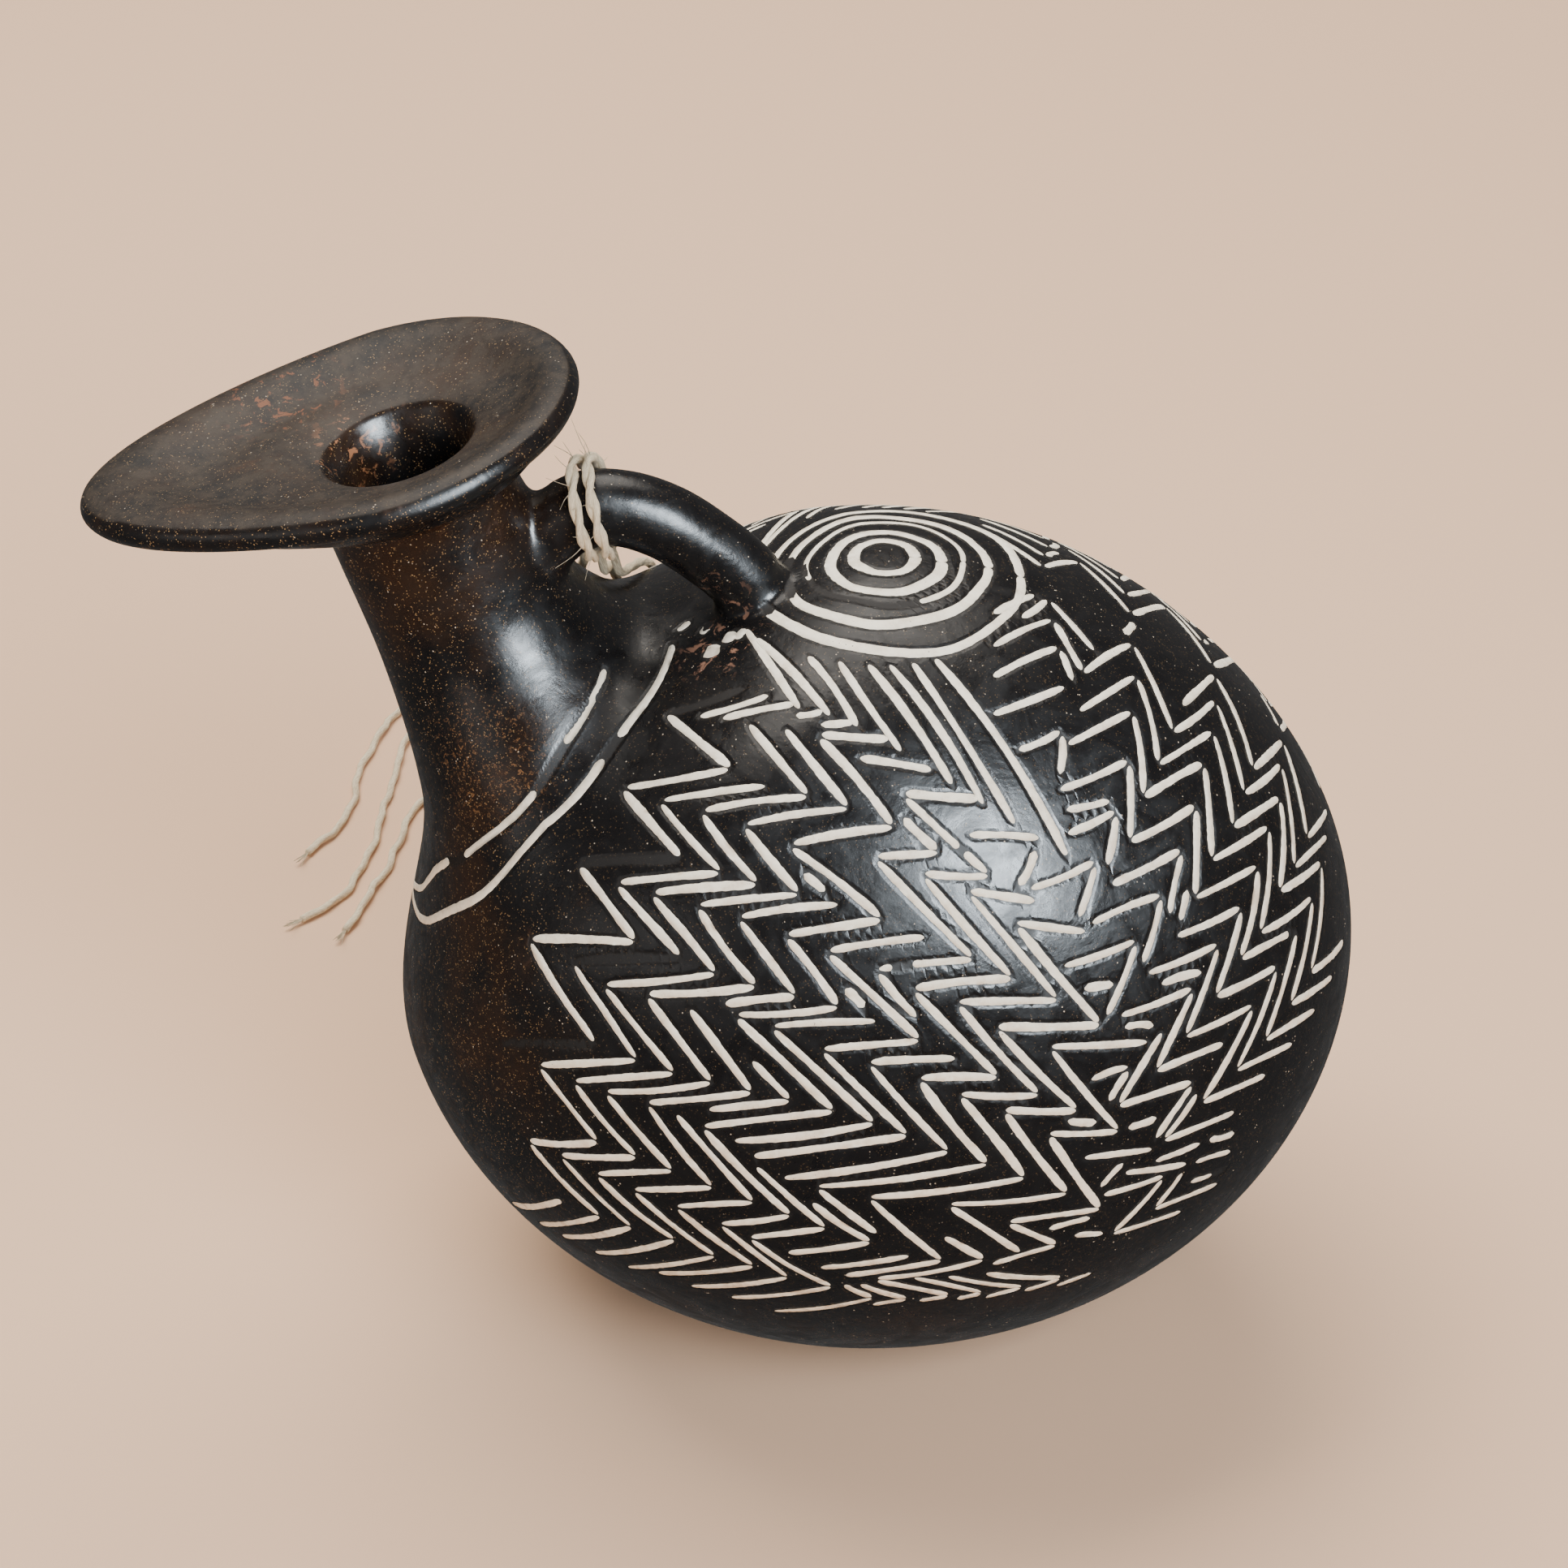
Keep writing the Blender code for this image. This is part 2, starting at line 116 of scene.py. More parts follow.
floor_mesh = bpy.data.meshes.new("floor")
floor_bm = bmesh.new()
bmesh.ops.create_grid(floor_bm, x_segments=1, y_segments=1, size=3.0)
floor_bm.to_mesh(floor_mesh)
floor_bm.free()
floor = bpy.data.objects.new("floor", floor_mesh)
bpy.context.scene.collection.objects.link(floor)
floor_look, nodes, links = nodes_of("pale_floor")
nodes["Principled BSDF"].inputs["Base Color"].default_value = (0.74, 0.49, 0.325, 1)
nodes["Principled BSDF"].inputs["Roughness"].default_value = 0.9
floor_mesh.materials.append(floor_look)
floor.visible_glossy = False
print("floor set")

# %% [markdown]
# A twine is tied round the handle, and three loose strands of it hang down behind the
# body and lie on the ground. Each strand follows the same points as in the solid model.
# They were chosen as one would lay the twine down, so they stay a plain list.

# %% Ways of the loose strands
strand_thick = 0.0014
strand_routes = {
    "outer": (
        (-0.0423, 0.0098, 0.1460), (-0.0417, 0.0108, 0.1395), (-0.0402, 0.0120, 0.1307),
        (-0.0388, 0.0189, 0.1270), (-0.0375, 0.0297, 0.1214), (-0.0361, 0.0433, 0.1118),
        (-0.0352, 0.0528, 0.0957), (-0.0349, 0.0574, 0.0780), (-0.0344, 0.0602, 0.0520),
        (-0.0348, 0.0614, 0.0240), (-0.0356, 0.0645, 0.0065), (-0.0378, 0.0755, 0.0012),
        (-0.0400, 0.0850, 0.0008), (-0.0480, 0.1150, 0.0008), (-0.0610, 0.1470, 0.0008),
        (-0.0790, 0.1730, 0.0008), (-0.0905, 0.1755, 0.0008), (-0.0970, 0.1645, 0.0008),
        (-0.1024, 0.1435, 0.0008), (-0.1032, 0.1305, 0.0008), (-0.1062, 0.1210, 0.0008),
        (-0.1101, 0.1152, 0.0008),
    ),
    "middle": (
        (-0.0440, 0.0102, 0.1460), (-0.0437, 0.0112, 0.1395), (-0.0425, 0.0123, 0.1308),
        (-0.0422, 0.0199, 0.1269), (-0.0420, 0.0297, 0.1195), (-0.0416, 0.0418, 0.1091),
        (-0.0409, 0.0509, 0.0936), (-0.0405, 0.0549, 0.0777), (-0.0400, 0.0574, 0.0520),
        (-0.0404, 0.0586, 0.0240), (-0.0412, 0.0618, 0.0065), (-0.0432, 0.0725, 0.0012),
        (-0.0456, 0.0820, 0.0008), (-0.0525, 0.1080, 0.0008), (-0.0640, 0.1350, 0.0008),
        (-0.0790, 0.1565, 0.0008), (-0.0880, 0.1630, 0.0008), (-0.0934, 0.1565, 0.0008),
        (-0.0949, 0.1435, 0.0008), (-0.0966, 0.1248, 0.0008), (-0.0993, 0.1075, 0.0008),
        (-0.1040, 0.0976, 0.0008), (-0.1090, 0.0930, 0.0008),
    ),
    "inner": (
        (-0.0457, 0.0098, 0.1460), (-0.0462, 0.0112, 0.1395), (-0.0457, 0.0157, 0.1307),
        (-0.0465, 0.0219, 0.1261), (-0.0470, 0.0308, 0.1166), (-0.0472, 0.0406, 0.1053),
        (-0.0469, 0.0480, 0.0922), (-0.0465, 0.0518, 0.0772), (-0.0458, 0.0536, 0.0520),
        (-0.0462, 0.0550, 0.0240), (-0.0472, 0.0582, 0.0065), (-0.0490, 0.0685, 0.0012),
        (-0.0510, 0.0770, 0.0008), (-0.0575, 0.0990, 0.0008), (-0.0670, 0.1190, 0.0008),
        (-0.0785, 0.1325, 0.0008), (-0.0865, 0.1350, 0.0008), (-0.0908, 0.1275, 0.0008),
        (-0.0922, 0.1166, 0.0008), (-0.0952, 0.1045, 0.0008), (-0.1000, 0.0892, 0.0008),
    ),
}
print(len(strand_routes), "loose strands")

# %% [markdown]
# A tube is a small ring of points that is carried along a line, each ring extruded from
# the one before it. The line itself is smoothed first: between two points it follows a
# curve that leaves and arrives with the slope of its neighbours. The tube also stores how
# far along it each point lies, so that a fibre's grain can follow it later.

# %% Smooth lines and tubes
def smooth_line(points, steps, first_slope=None):
    """Points on one smooth line through the given ones, with steps to each span."""
    lengths = [(b - a).length for a, b in zip(points, points[1:])]
    slopes = []
    for k in range(len(points)):
        if 0 < k < len(points) - 1:
            before = (points[k] - points[k - 1]) / lengths[k - 1]
            after = (points[k + 1] - points[k]) / lengths[k]
            slopes.append(before.lerp(after, lengths[k - 1] / (lengths[k - 1] + lengths[k])))
        elif k == 0:
            slopes.append(first_slope or (points[1] - points[0]) / lengths[0])
        else:
            slopes.append((points[-1] - points[-2]) / lengths[-1])
    line = []
    for k, length in enumerate(lengths):
        for step in range(steps):
            t = step / steps
            line.append(
                (2 * t**3 - 3 * t**2 + 1) * points[k]
                + (t**3 - 2 * t**2 + t) * length * slopes[k]
                + (3 * t**2 - 2 * t**3) * points[k + 1]
                + (t**3 - t**2) * length * slopes[k + 1]
            )
    line.append(points[-1])
    return line


def waver(spot):
    """A soft random push that belongs to a spot, the same in every run."""
    return Vector((noise.noise(spot), noise.noise(spot + Vector((31.4, 0, 0))),
                   noise.noise(spot + Vector((0, 57.2, 0)))))


def tube(bm, line, radius_at, sides):
    """Carry a ring of points along a line; radius_at(share, turn, far) gives its radius."""
    order = bm.verts.layers.int.get("order") or bm.verts.layers.int.new("order")
    along_layer = bm.verts.layers.float.get("far") or bm.verts.layers.float.new("far")
    turn_layer = bm.verts.layers.float.get("turn") or bm.verts.layers.float.new("turn")
    ring = bmesh.ops.create_circle(bm, cap_ends=True, segments=sides, radius=1.0)["verts"]
    for k, vert in enumerate(ring):
        vert[order] = k
    edges = list(ring[0].link_faces[0].edges)
    up = Vector((0.0, 0.0, 1.0))
    far = 0.0
    for k, point in enumerate(line):
        ahead = (line[min(k + 1, len(line) - 1)] - line[max(k - 1, 0)]).normalized()
        if k == 0:
            up = ahead.orthogonal().normalized()
        else:
            far += (line[k] - line[k - 1]).length
            grown = bmesh.ops.extrude_edge_only(bm, edges=edges)["geom"]
            ring = [g for g in grown if isinstance(g, bmesh.types.BMVert)]
            edges = [g for g in grown if isinstance(g, bmesh.types.BMEdge)
                     and g.verts[0] in ring and g.verts[1] in ring]
        up = (up - ahead * up.dot(ahead)).normalized()
        side = ahead.cross(up)
        for vert in ring:
            turn = 2 * math.pi * vert[order] / sides
            radius = radius_at(k / (len(line) - 1), turn, far)
            vert.co = point + radius * (math.cos(turn) * up + math.sin(turn) * side)
            vert[along_layer] = far
            vert[turn_layer] = abs(math.pi - turn)
    bmesh.ops.contextual_create(bm, geom=edges)


def finish_piece(bm, name, look):
    """Write the shape to a mesh object, smooth, with its faces turned outwards."""
    bmesh.ops.recalc_face_normals(bm, faces=bm.faces)
    for face in bm.faces:
        face.smooth = True
    mesh = bpy.data.meshes.new(name)
    bm.to_mesh(mesh)
    bm.free()
    mesh.materials.append(look)
    piece = bpy.data.objects.new(name, mesh)
    bpy.context.scene.collection.objects.link(piece)
    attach(piece, "root")
    return piece


print("tube helpers ready")

# %% [markdown]
# A strand's section is not round but has three soft lobes that turn slowly, as the fibres
# of an opened twine still keep some of their twist. On the ground it kinks, because it
# was once wound tight. Its end is cut and frays into a tuft of fine fibres.

# %% Loose strands of the twine
jute, nodes, links = nodes_of("jute_fibre")
kink_lying, kink_hanging = 0.0009, 0.0002

tufts = bmesh.new()
for label, route in strand_routes.items():
    line = smooth_line([Vector(point) for point in route], 2)
    fine = smooth_line(line, 5)
    far = 0.0
    kinked = [fine[0]]
    for before, point in zip(fine, fine[1:]):
        far += (point - before).length
        kink = waver(Vector((far * 170, 3.0, 0)))
        kink.z = abs(kink.z)
        kinked.append(point + kink * min(kink_lying if point.z < 0.003 else kink_hanging, far * 0.05))
    bm = bmesh.new()

    def lobes(share, turn, far, half=strand_thick / 2):
        slow = 2 * math.pi * far / 0.011
        return half * (1.0 + 0.10 * math.cos(3 * turn + slow))

    tube(bm, kinked, lobes, 12)
    strand = finish_piece(bm, "strand_" + label, jute)
    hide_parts("twine_end_" + label)
    tip, onward = kinked[-1], (kinked[-1] - kinked[-6]).normalized()
    for k in range(12):
        spray = onward + 0.9 * waver(Vector((k * 3.7, 1.0, far)))
        spray.z = abs(spray.z) * 0.3
        ends = [tip - onward * 0.001, tip + spray * 0.0016, tip + spray * (0.0026 + 0.0002 * k)]
        tube(tufts, smooth_line(ends, 4), lambda share, turn, far: 0.00013 * (1.0 - 0.6 * share), 4)
finish_piece(tufts, "frayed_ends", jute)

# %% [markdown]
# The body is shaped like a fat egg that dips at its tail. A potter builds it up in coils;
# here rings are stacked along its length in the same way. One circle is made, and then
# each new ring is extruded from the last one and moved to its place, so the skin is a
# neat net of four-sided faces. The numbers are those of the solid model.

# %% Measures of the vessel
body_length, body_width, body_height = 0.156, 0.127, 0.1427
foot_cut, wall = 0.0021, 0.0046
body_middle = body_height / 2 - foot_cut
tail_dip = math.radians(38.0)
shoulder_turn = math.radians(128.0)
neck_stations = (
    (-0.722, 0.664, math.radians(42.0), 0.0208, 0.0262),
    (-0.795, 0.870, math.radians(28.0), 0.0163, 0.0168),
    (-0.877, 1.118, math.radians(16.0), 0.0151, 0.0151),
)
bore = 0.0097


def body_outline(angle, inset=0.0):
    """The body's outline in its middle plane, a little flat above the tail."""
    bump = (angle - math.radians(45.0)) / math.radians(26.0)
    flat = 1.0 - 0.022 * math.exp(-bump * bump)
    return Vector((
        (body_length / 2 - inset) * math.cos(angle) * flat,
        body_middle + (body_height / 2 - inset) * math.sin(angle) * flat,
    ))


def body_ring(turn, inset=0.0):
    half = (body_width / 2 - inset) * math.sin(turn)
    return body_outline(turn - tail_dip, inset), body_outline(-turn - tail_dip, inset), half


def beside_body(place):
    return Vector((place[0] * body_length / 2, body_middle + place[1] * body_height / 2))


def neck_ring(station, inset):
    tilt, radius, half = station[2:]
    reach = (radius - inset) * Vector((math.cos(tilt), math.sin(tilt)))
    return beside_body(station) + reach, beside_body(station) - reach, half - inset


def neck_rings(steps, inset=0.0, bore_inset=0.0):
    """Rings from the body's shoulder up to the top of the neck."""
    shoulder, below = body_ring(shoulder_turn, inset), body_ring(shoulder_turn - 0.02, inset)
    insets = (inset, (inset + bore_inset) / 2, bore_inset)
    rings = [shoulder] + [neck_ring(s, i) for s, i in zip(neck_stations, insets)]
    backs = smooth_line([r[0] for r in rings], steps, (shoulder[0] - below[0]).normalized())
    fronts = smooth_line([r[1] for r in rings], steps, (shoulder[1] - below[1]).normalized())
    middles = [(r[0] + r[1]) / 2 for r in rings]
    climb = [0.0]
    for a, b in zip(middles, middles[1:]):
        climb.append(climb[-1] + (b - a).length)
    rise = (middles[0] - (below[0] + below[1]) / 2).length
    slope = Vector((rise, shoulder[2] - below[2])).normalized()
    widths = smooth_line([Vector((c, r[2])) for c, r in zip(climb, rings)], steps, slope)
    return [(b, f, w[1]) for b, f, w in zip(backs, fronts, widths)][1:]


def oval(ring, sides):
    """The points of an oval ring, first at the back, then round by the near side."""
    back, front, half = ring
    middle, reach = (back + front) / 2, (back - front) / 2
    points = []
    for k in range(sides):
        turn = 2 * math.pi * k / sides
        flat = middle + reach * math.cos(turn)
        points.append(Vector((flat.x, -half * math.sin(turn), flat.y)))
    return points


print("body", body_length, body_width, body_height, "shoulder ring", body_ring(shoulder_turn))

# %% [markdown]
# The rim is a leaf: round at the back and drawn out to a tip in front, where the jug
# pours. It is tilted down to the tip and dished round the mouth. Its rings are blended
# between the mouth's circle and the leaf's outline.

# %% Measures of the rim
rim_rise, rim_tilt, rim_turn = 0.0168, math.radians(13.8), math.radians(5.5)
rim_front, rim_back, rim_half = 0.0488, 0.0286, 0.0300
rim_aside, rim_widest, rim_thick, rim_dish = 0.0014, -0.0020, 0.0050, 0.0044
rim_fillet, mouth_radius, mouth_roll = 0.0034, 0.0118, 0.0060
neck_radius = neck_stations[2][3]


def leaf(turn, inset):
    ahead, aside = math.cos(turn), math.sin(turn)
    back = rim_widest + (rim_back - rim_widest - inset) * ahead
    if ahead < 0.0:
        back = rim_widest - (rim_front + rim_widest - inset) * abs(ahead) ** (2.0 / 1.32)
    return Matrix.Rotation(-rim_turn, 2) @ Vector((back, (rim_half - inset) * aside))


def rim_ring(depth, radius, sides, share=0.0, inset=0.0):
    top = beside_body(neck_stations[2])
    tilt = neck_stations[2][2]
    middle = Vector((top.x - rim_rise * math.sin(tilt), 0.0, top.y + rim_rise * math.cos(tilt)))
    along = Vector((math.cos(rim_tilt), 0.0, math.sin(rim_tilt)))
    up = Vector((-math.sin(rim_tilt), 0.0, math.cos(rim_tilt)))
    points = []
    for k in range(sides):
        turn = 2 * math.pi * k / sides
        back, side = leaf(turn, inset) * share + radius * (1 - share) * Vector(
            (math.cos(turn), math.sin(turn)))
        points.append(middle + along * back + Vector((0, rim_aside * share - side, 0)) - up * depth)
    return points


def rim_rings(sides):
    """Rings out under the rim, round its edge, and in to the mouth."""
    t, d, neck = rim_thick, rim_dish, neck_radius
    flare, lip, under = neck + rim_fillet, mouth_radius + rim_fillet * 0.65, rim_thick + rim_dish
    steps = (
        (under + rim_fillet * 0.76, neck + rim_fillet * 0.24, 0.0, 0.0),
        (under + rim_fillet * 0.24, flare, 0.0, 0.0),
        (under, flare, 0.45, t),
        (t, neck, 1.0, t * 0.64),
        (t * 0.84, neck, 1.0, t * 0.16),
        (t * 0.50, neck, 1.0, 0.0),
        (t * 0.16, neck, 1.0, t * 0.16),
        (0.0, neck, 1.0, t * 0.56),
        (d * 0.65, lip, 0.5, t),
        (d * 0.95, lip, 0.0, 0.0),
        (d + mouth_roll * 0.13, mouth_radius, 0.0, 0.0),
        (d + mouth_roll * 0.45, (mouth_radius + bore) / 2, 0.0, 0.0),
        (d + mouth_roll, bore, 0.0, 0.0),
    )
    return [rim_ring(depth, radius, sides, share, inset) for depth, radius, share, inset in steps]


print("rim plane centre depth", round(rim_dish * 1000, 1), "mm below the edge")

# %% [markdown]
# The outer skin of the body carries the finest detail, so it has the most rings. The
# neck, the rim and the inside have fewer. Both are built the same way, and bridged to
# each other where the shoulder meets the neck.

# %% Stack the rings
def start_loop(bm, points, cap):
    """A first loop of points, closed by a fan of faces if it is a pole."""
    order = bm.verts.layers.int.get("order") or bm.verts.layers.int.new("order")
    made = bmesh.ops.create_circle(bm, cap_ends=cap, cap_tris=cap, segments=len(points), radius=1.0)
    ring = [v for v in made["verts"] if v.co.length > 0.5]
    ring.sort(key=lambda v: math.atan2(v.co.y, v.co.x) % (2 * math.pi))
    for k, vert in enumerate(ring):
        vert[order] = k
        vert.co = points[k]
    for vert in set(made["verts"]) - set(ring):
        vert.co = sum(points, Vector()) / len(points)
    return [bm.edges.get((a, b)) for a, b in zip(ring, ring[1:] + ring[:1])]


def grow_loop(bm, edges, points):
    """Extrude the open loop and move its new points to their places."""
    order = bm.verts.layers.int["order"]
    grown = bmesh.ops.extrude_edge_only(bm, edges=edges)["geom"]
    ring = {g for g in grown if isinstance(g, bmesh.types.BMVert)}
    for vert in ring:
        vert.co = points[vert[order]]
    return [g for g in grown if isinstance(g, bmesh.types.BMEdge)
            and g.verts[0] in ring and g.verts[1] in ring]


fine_sides, fine_rings, shoulder_rings = 400, 148, 40
neck_sides = 160

shape = bmesh.new()
turns = [shoulder_turn * (k + 0.6) / (fine_rings + 0.6) for k in range(fine_rings + 1)]
fine_loops = [oval(body_ring(turn), fine_sides) for turn in turns]
fine_loops += [oval(ring, fine_sides) for ring in neck_rings(shoulder_rings)[:shoulder_rings + 2]]
edges = start_loop(shape, fine_loops[0], True)
for points in fine_loops[1:]:
    edges = grow_loop(shape, edges, points)
body_skin = BVHTree.FromBMesh(shape)
body_edges = edges
print("outer skin", len(shape.faces), "faces")

# %% [markdown]
# The neck, the rim and the inside are one long profile: up the neck, out under the rim,
# round its edge, in to the mouth, and down inside to the bottom of the hollow. The rings
# go on being extruded along it until the last one closes the inside. A cut level with
# the ground then makes the flat foot.

# %% Stack the neck, the rim and the inside
neck_loops = [oval(ring, neck_sides) for ring in neck_rings(9)[10:]]
corners = [oval(neck_rings(9)[-2], neck_sides), neck_loops[-1]] + rim_rings(neck_sides)
inner_neck = [oval(r, neck_sides) for r in neck_rings(3, wall, neck_radius - bore)]
corners += [inner_neck[-1], inner_neck[-2]]
profiles = [smooth_line([ring[k] for ring in corners], 4) for k in range(neck_sides)]
rim_loops = [[profile[j] for profile in profiles] for j in range(5, len(profiles[0]) - 4)]
inner_turns = [shoulder_turn * k / 14 for k in range(14, 0, -1)]
inside_loops = list(reversed(inner_neck[:-1])) + [
    oval(body_ring(turn, wall), neck_sides) for turn in inner_turns]

edges = start_loop(shape, neck_loops[0], False)
bmesh.ops.bridge_loops(shape, edges=body_edges + edges)
for points in neck_loops[1:] + rim_loops + inside_loops:
    edges = grow_loop(shape, edges, points)
bmesh.ops.contextual_create(shape, geom=edges)
bmesh.ops.bisect_plane(shape, geom=shape.verts[:] + shape.edges[:] + shape.faces[:],
                       dist=1e-6, plane_co=(0, 0, 0), plane_no=(0, 0, -1), clear_outer=True)
bmesh.ops.contextual_create(shape, geom=[e for e in shape.edges if e.is_boundary])
bmesh.ops.recalc_face_normals(shape, faces=shape.faces)
open_edges = sum(e.is_boundary or not e.is_manifold for e in shape.edges)
print("vessel", len(shape.faces), "faces,", open_edges, "open edges")

# %% [markdown]
# The handle is a rod of clay, rolled, bent and pressed on at both ends. It is a tube along
# the solid model's points, welded to the body with a Boolean. A Boolean leaves a hard
# crease where a potter's thumb leaves a soft one, so the points near the crease are
# smoothed afterwards until the two skins run into each other.

# %% Weld the handle on
handle_thick = 0.0116
handle_places = (
    (-0.6705, 1.0350), (-0.6192, 1.0841), (-0.5615, 1.1191), (-0.4936, 1.1177),
    (-0.4205, 1.0897), (-0.3359, 1.0252), (-0.2667, 0.9523), (-0.2295, 0.8809),
)


def handle_line(steps):
    flat = smooth_line([beside_body(place) for place in handle_places], steps)
    return [Vector((point.x, 0.0, point.y)) for point in flat]


def handle_radius(share, turn, far):
    fade = max(0.0, 1.0 - min(share, 1.0 - share) / 0.20)
    return handle_thick / 2 * (1.0 + 0.25 * fade * fade)


clay, nodes, links = nodes_of("burnished_clay")
rod_shape = bmesh.new()
tube(rod_shape, handle_line(10), handle_radius, 44)
rod = finish_piece(rod_shape, "handle_rod", clay)
vessel = finish_piece(shape, "vessel", clay)
weld = vessel.modifiers.new("weld", "BOOLEAN")
weld.operation = "UNION"
weld.solver = "EXACT"
weld.object = rod
bpy.context.view_layer.update()
welded = bpy.data.meshes.new_from_object(vessel.evaluated_get(bpy.context.evaluated_depsgraph_get()))
vessel.modifiers.clear()
bpy.data.objects.remove(rod)

shape = bmesh.new()
shape.from_mesh(welded)
shape.normal_update()
roots = [handle_line(10)[6], handle_line(10)[-6]]
near_roots = [v for v in shape.verts if min((v.co - root).length for root in roots) < 0.016]
creases = [e for v in near_roots for e in v.link_edges
           if e.is_manifold and e.calc_face_angle() > math.radians(28)]
crease_points = kdtree.KDTree(len(creases))
for k, edge in enumerate(creases):
    crease_points.insert((edge.verts[0].co + edge.verts[1].co) / 2, k)
crease_points.balance()
for reach, rounds in ((0.0022, 14), (0.0036, 10)):
    soft = [v for v in near_roots if v.is_valid and crease_points.find(v.co)[2] < reach]
    for _ in range(rounds):
        bmesh.ops.smooth_vert(shape, verts=soft, factor=0.5, use_axis_x=True,
                              use_axis_y=True, use_axis_z=True)
print("handle welded,", len(creases), "crease edges softened,", len(shape.faces), "faces")

# %% [markdown]
# The twine goes twice round the handle and is knotted on the far side. It is laid from
# two yarns that turn round each other, so each yarn is a tube along a corkscrew line. The
# knot is a plain one: its line is a trefoil. Loose fibres stick out, as jute always sheds.

# %% Tie the twine round the handle
twine_thick, twine_gap, twine_pitch = 0.0020, 0.0006, 0.0024
tie_line = handle_line(72)
tie_at = round(0.30 * (len(tie_line) - 1))
tie = tie_line[tie_at]
along = (tie_line[tie_at + 1] - tie_line[tie_at - 1]).normalized()
far_side = Vector((0.0, 1.0, 0.0))
out = far_side.cross(along)
wrap_reach = handle_thick / 2 + twine_gap + twine_thick / 2


def wrap_point(turn):
    """A point of the twine's middle line, after so many turns round the handle."""
    angle = 2 * math.pi * turn
    slant = along * (0.105 * math.sin(angle) - 0.06 * max(0.0, turn - 1.0) * math.cos(angle))
    return tie + along * (turn - 1.0) * twine_pitch + wrap_reach * (
        far_side * math.cos(angle) + out * math.sin(angle) + slant)


def corkscrew(line, reach, lay, start):
    """A line that turns round another one, once in every length of lay."""
    spun, gone, up = [], 0.0, None
    for k, point in enumerate(line):
        ahead = (line[min(k + 1, len(line) - 1)] - line[max(k - 1, 0)]).normalized()
        up = ahead.orthogonal() if up is None else up - ahead * up.dot(ahead)
        up.normalize()
        gone += (point - line[k - 1]).length if k else 0.0
        turn = start + 2 * math.pi * gone / lay
        spun.append(point + reach * (math.cos(turn) * up + math.sin(turn) * ahead.cross(up)))
    return spun


def yarn_radius(share, turn, far):
    return 0.00054 * (1.0 + 0.07 * math.cos(4 * turn + far * 2600) + 0.06 * math.sin(far * 1500))


def fibre_radius(share, turn, far):
    return 0.000085 * (1.0 - 0.6 * share)


hand_fibres = random.Random(4)
twine_shape = bmesh.new()
wrap_line = [wrap_point(k / 90) for k in range(181)]
knot_middle = tie + far_side * (handle_thick / 2 + twine_gap + 0.0020)
knot_line = []
for k in range(121):
    t = 2 * math.pi * k / 120
    knot_line.append(knot_middle + 0.00078 * (
        along * (math.sin(t) + 2 * math.sin(2 * t)) + out * (math.cos(t) - 2 * math.cos(2 * t)) * 0.9
        - far_side * 1.25 * math.sin(3 * t)))
for line in (wrap_line, knot_line):
    for start in (0.0, math.pi):
        tube(twine_shape, corkscrew(line, 0.00047, 0.0105, start), yarn_radius, 10)
for k in range(34):
    root = wrap_point(hand_fibres.uniform(0.05, 1.95))
    away = (root - tie).normalized() + 0.5 * waver(root * 900) - 0.4 * along
    reach = hand_fibres.uniform(0.0016, 0.0048)
    bend = waver(root * 1500 + Vector((k, 0, 0))) * reach * 1.3
    line = smooth_line([root, root + away * reach * 0.5 + bend * 0.3,
                        root + away * reach + bend], 5)
    tube(twine_shape, line, fibre_radius, 4)
wrap = finish_piece(twine_shape, "twine_wrap_dressed", jute)
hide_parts("twine_wrap")
print("twine tied at", tuple(round(c * 1000, 1) for c in tie), "mm,", len(wrap.data.polygons), "faces")

# %% [markdown]
# The pattern was cut with a point while the clay was leather-hard. Every line is a short
# stroke, and the strokes make nested zigzags that fall from the rings on the back to the
# belly. Places on the round body are given like places on a globe: a heading round the
# body, and an angle down from its top. A ray from the middle of the body finds the point
# of the skin for each. The potter worked freehand, so every stroke gets a small error.

# %% Places on the body's skin
hand = random.Random(7)
globe_middle = Vector((0.0, 0.0, body_middle))
cuts = []


def skin_at(heading, down):
    """The skin's point at a heading and an angle down, both in degrees."""
    a, b = math.radians(heading), math.radians(down)
    way = Vector((math.sin(b) * math.cos(a), math.sin(b) * math.sin(a), math.cos(b)))
    return body_skin.ray_cast(globe_middle, way)[0]


def jitter(amount):
    return hand.uniform(-amount, amount)


def stroke(start, end, side, width=0.00118, fill=1.0):
    """Cut one short stroke, bowed a little and thin at its ends, between two places."""
    first, last = skin_at(*start), skin_at(*end)
    if first is None or last is None:
        return
    count = max(8, int((last - first).length / 0.0006))
    bow = jitter(0.00035)
    thick = width * hand.uniform(0.88, 1.14)
    aside = (last - first).cross(first - globe_middle).normalized() * bow
    rows = []
    for k in range(count + 1):
        t = k / count
        spot = first.lerp(last, t) + aside * math.sin(math.pi * t)
        point = body_skin.ray_cast(globe_middle, spot - globe_middle)[0]
        if point is not None:
            swell = 1.06 + 0.10 * math.sin(7.0 * t + 40000.0 * bow)
            swell *= 1.0 - 0.38 * max(0.0, 1.0 - min(t, 1.0 - t) / 0.14) ** 1.5
            rows.append((Vector((point.x, side * point.y, point.z)), thick / 2 * swell, fill))
    cuts.append(rows)


def degrees_across(reach, down):
    """How many degrees of heading a reach along the skin takes at an angle down."""
    return reach / (math.radians(1.0) * 0.068 * math.sin(math.radians(down)))


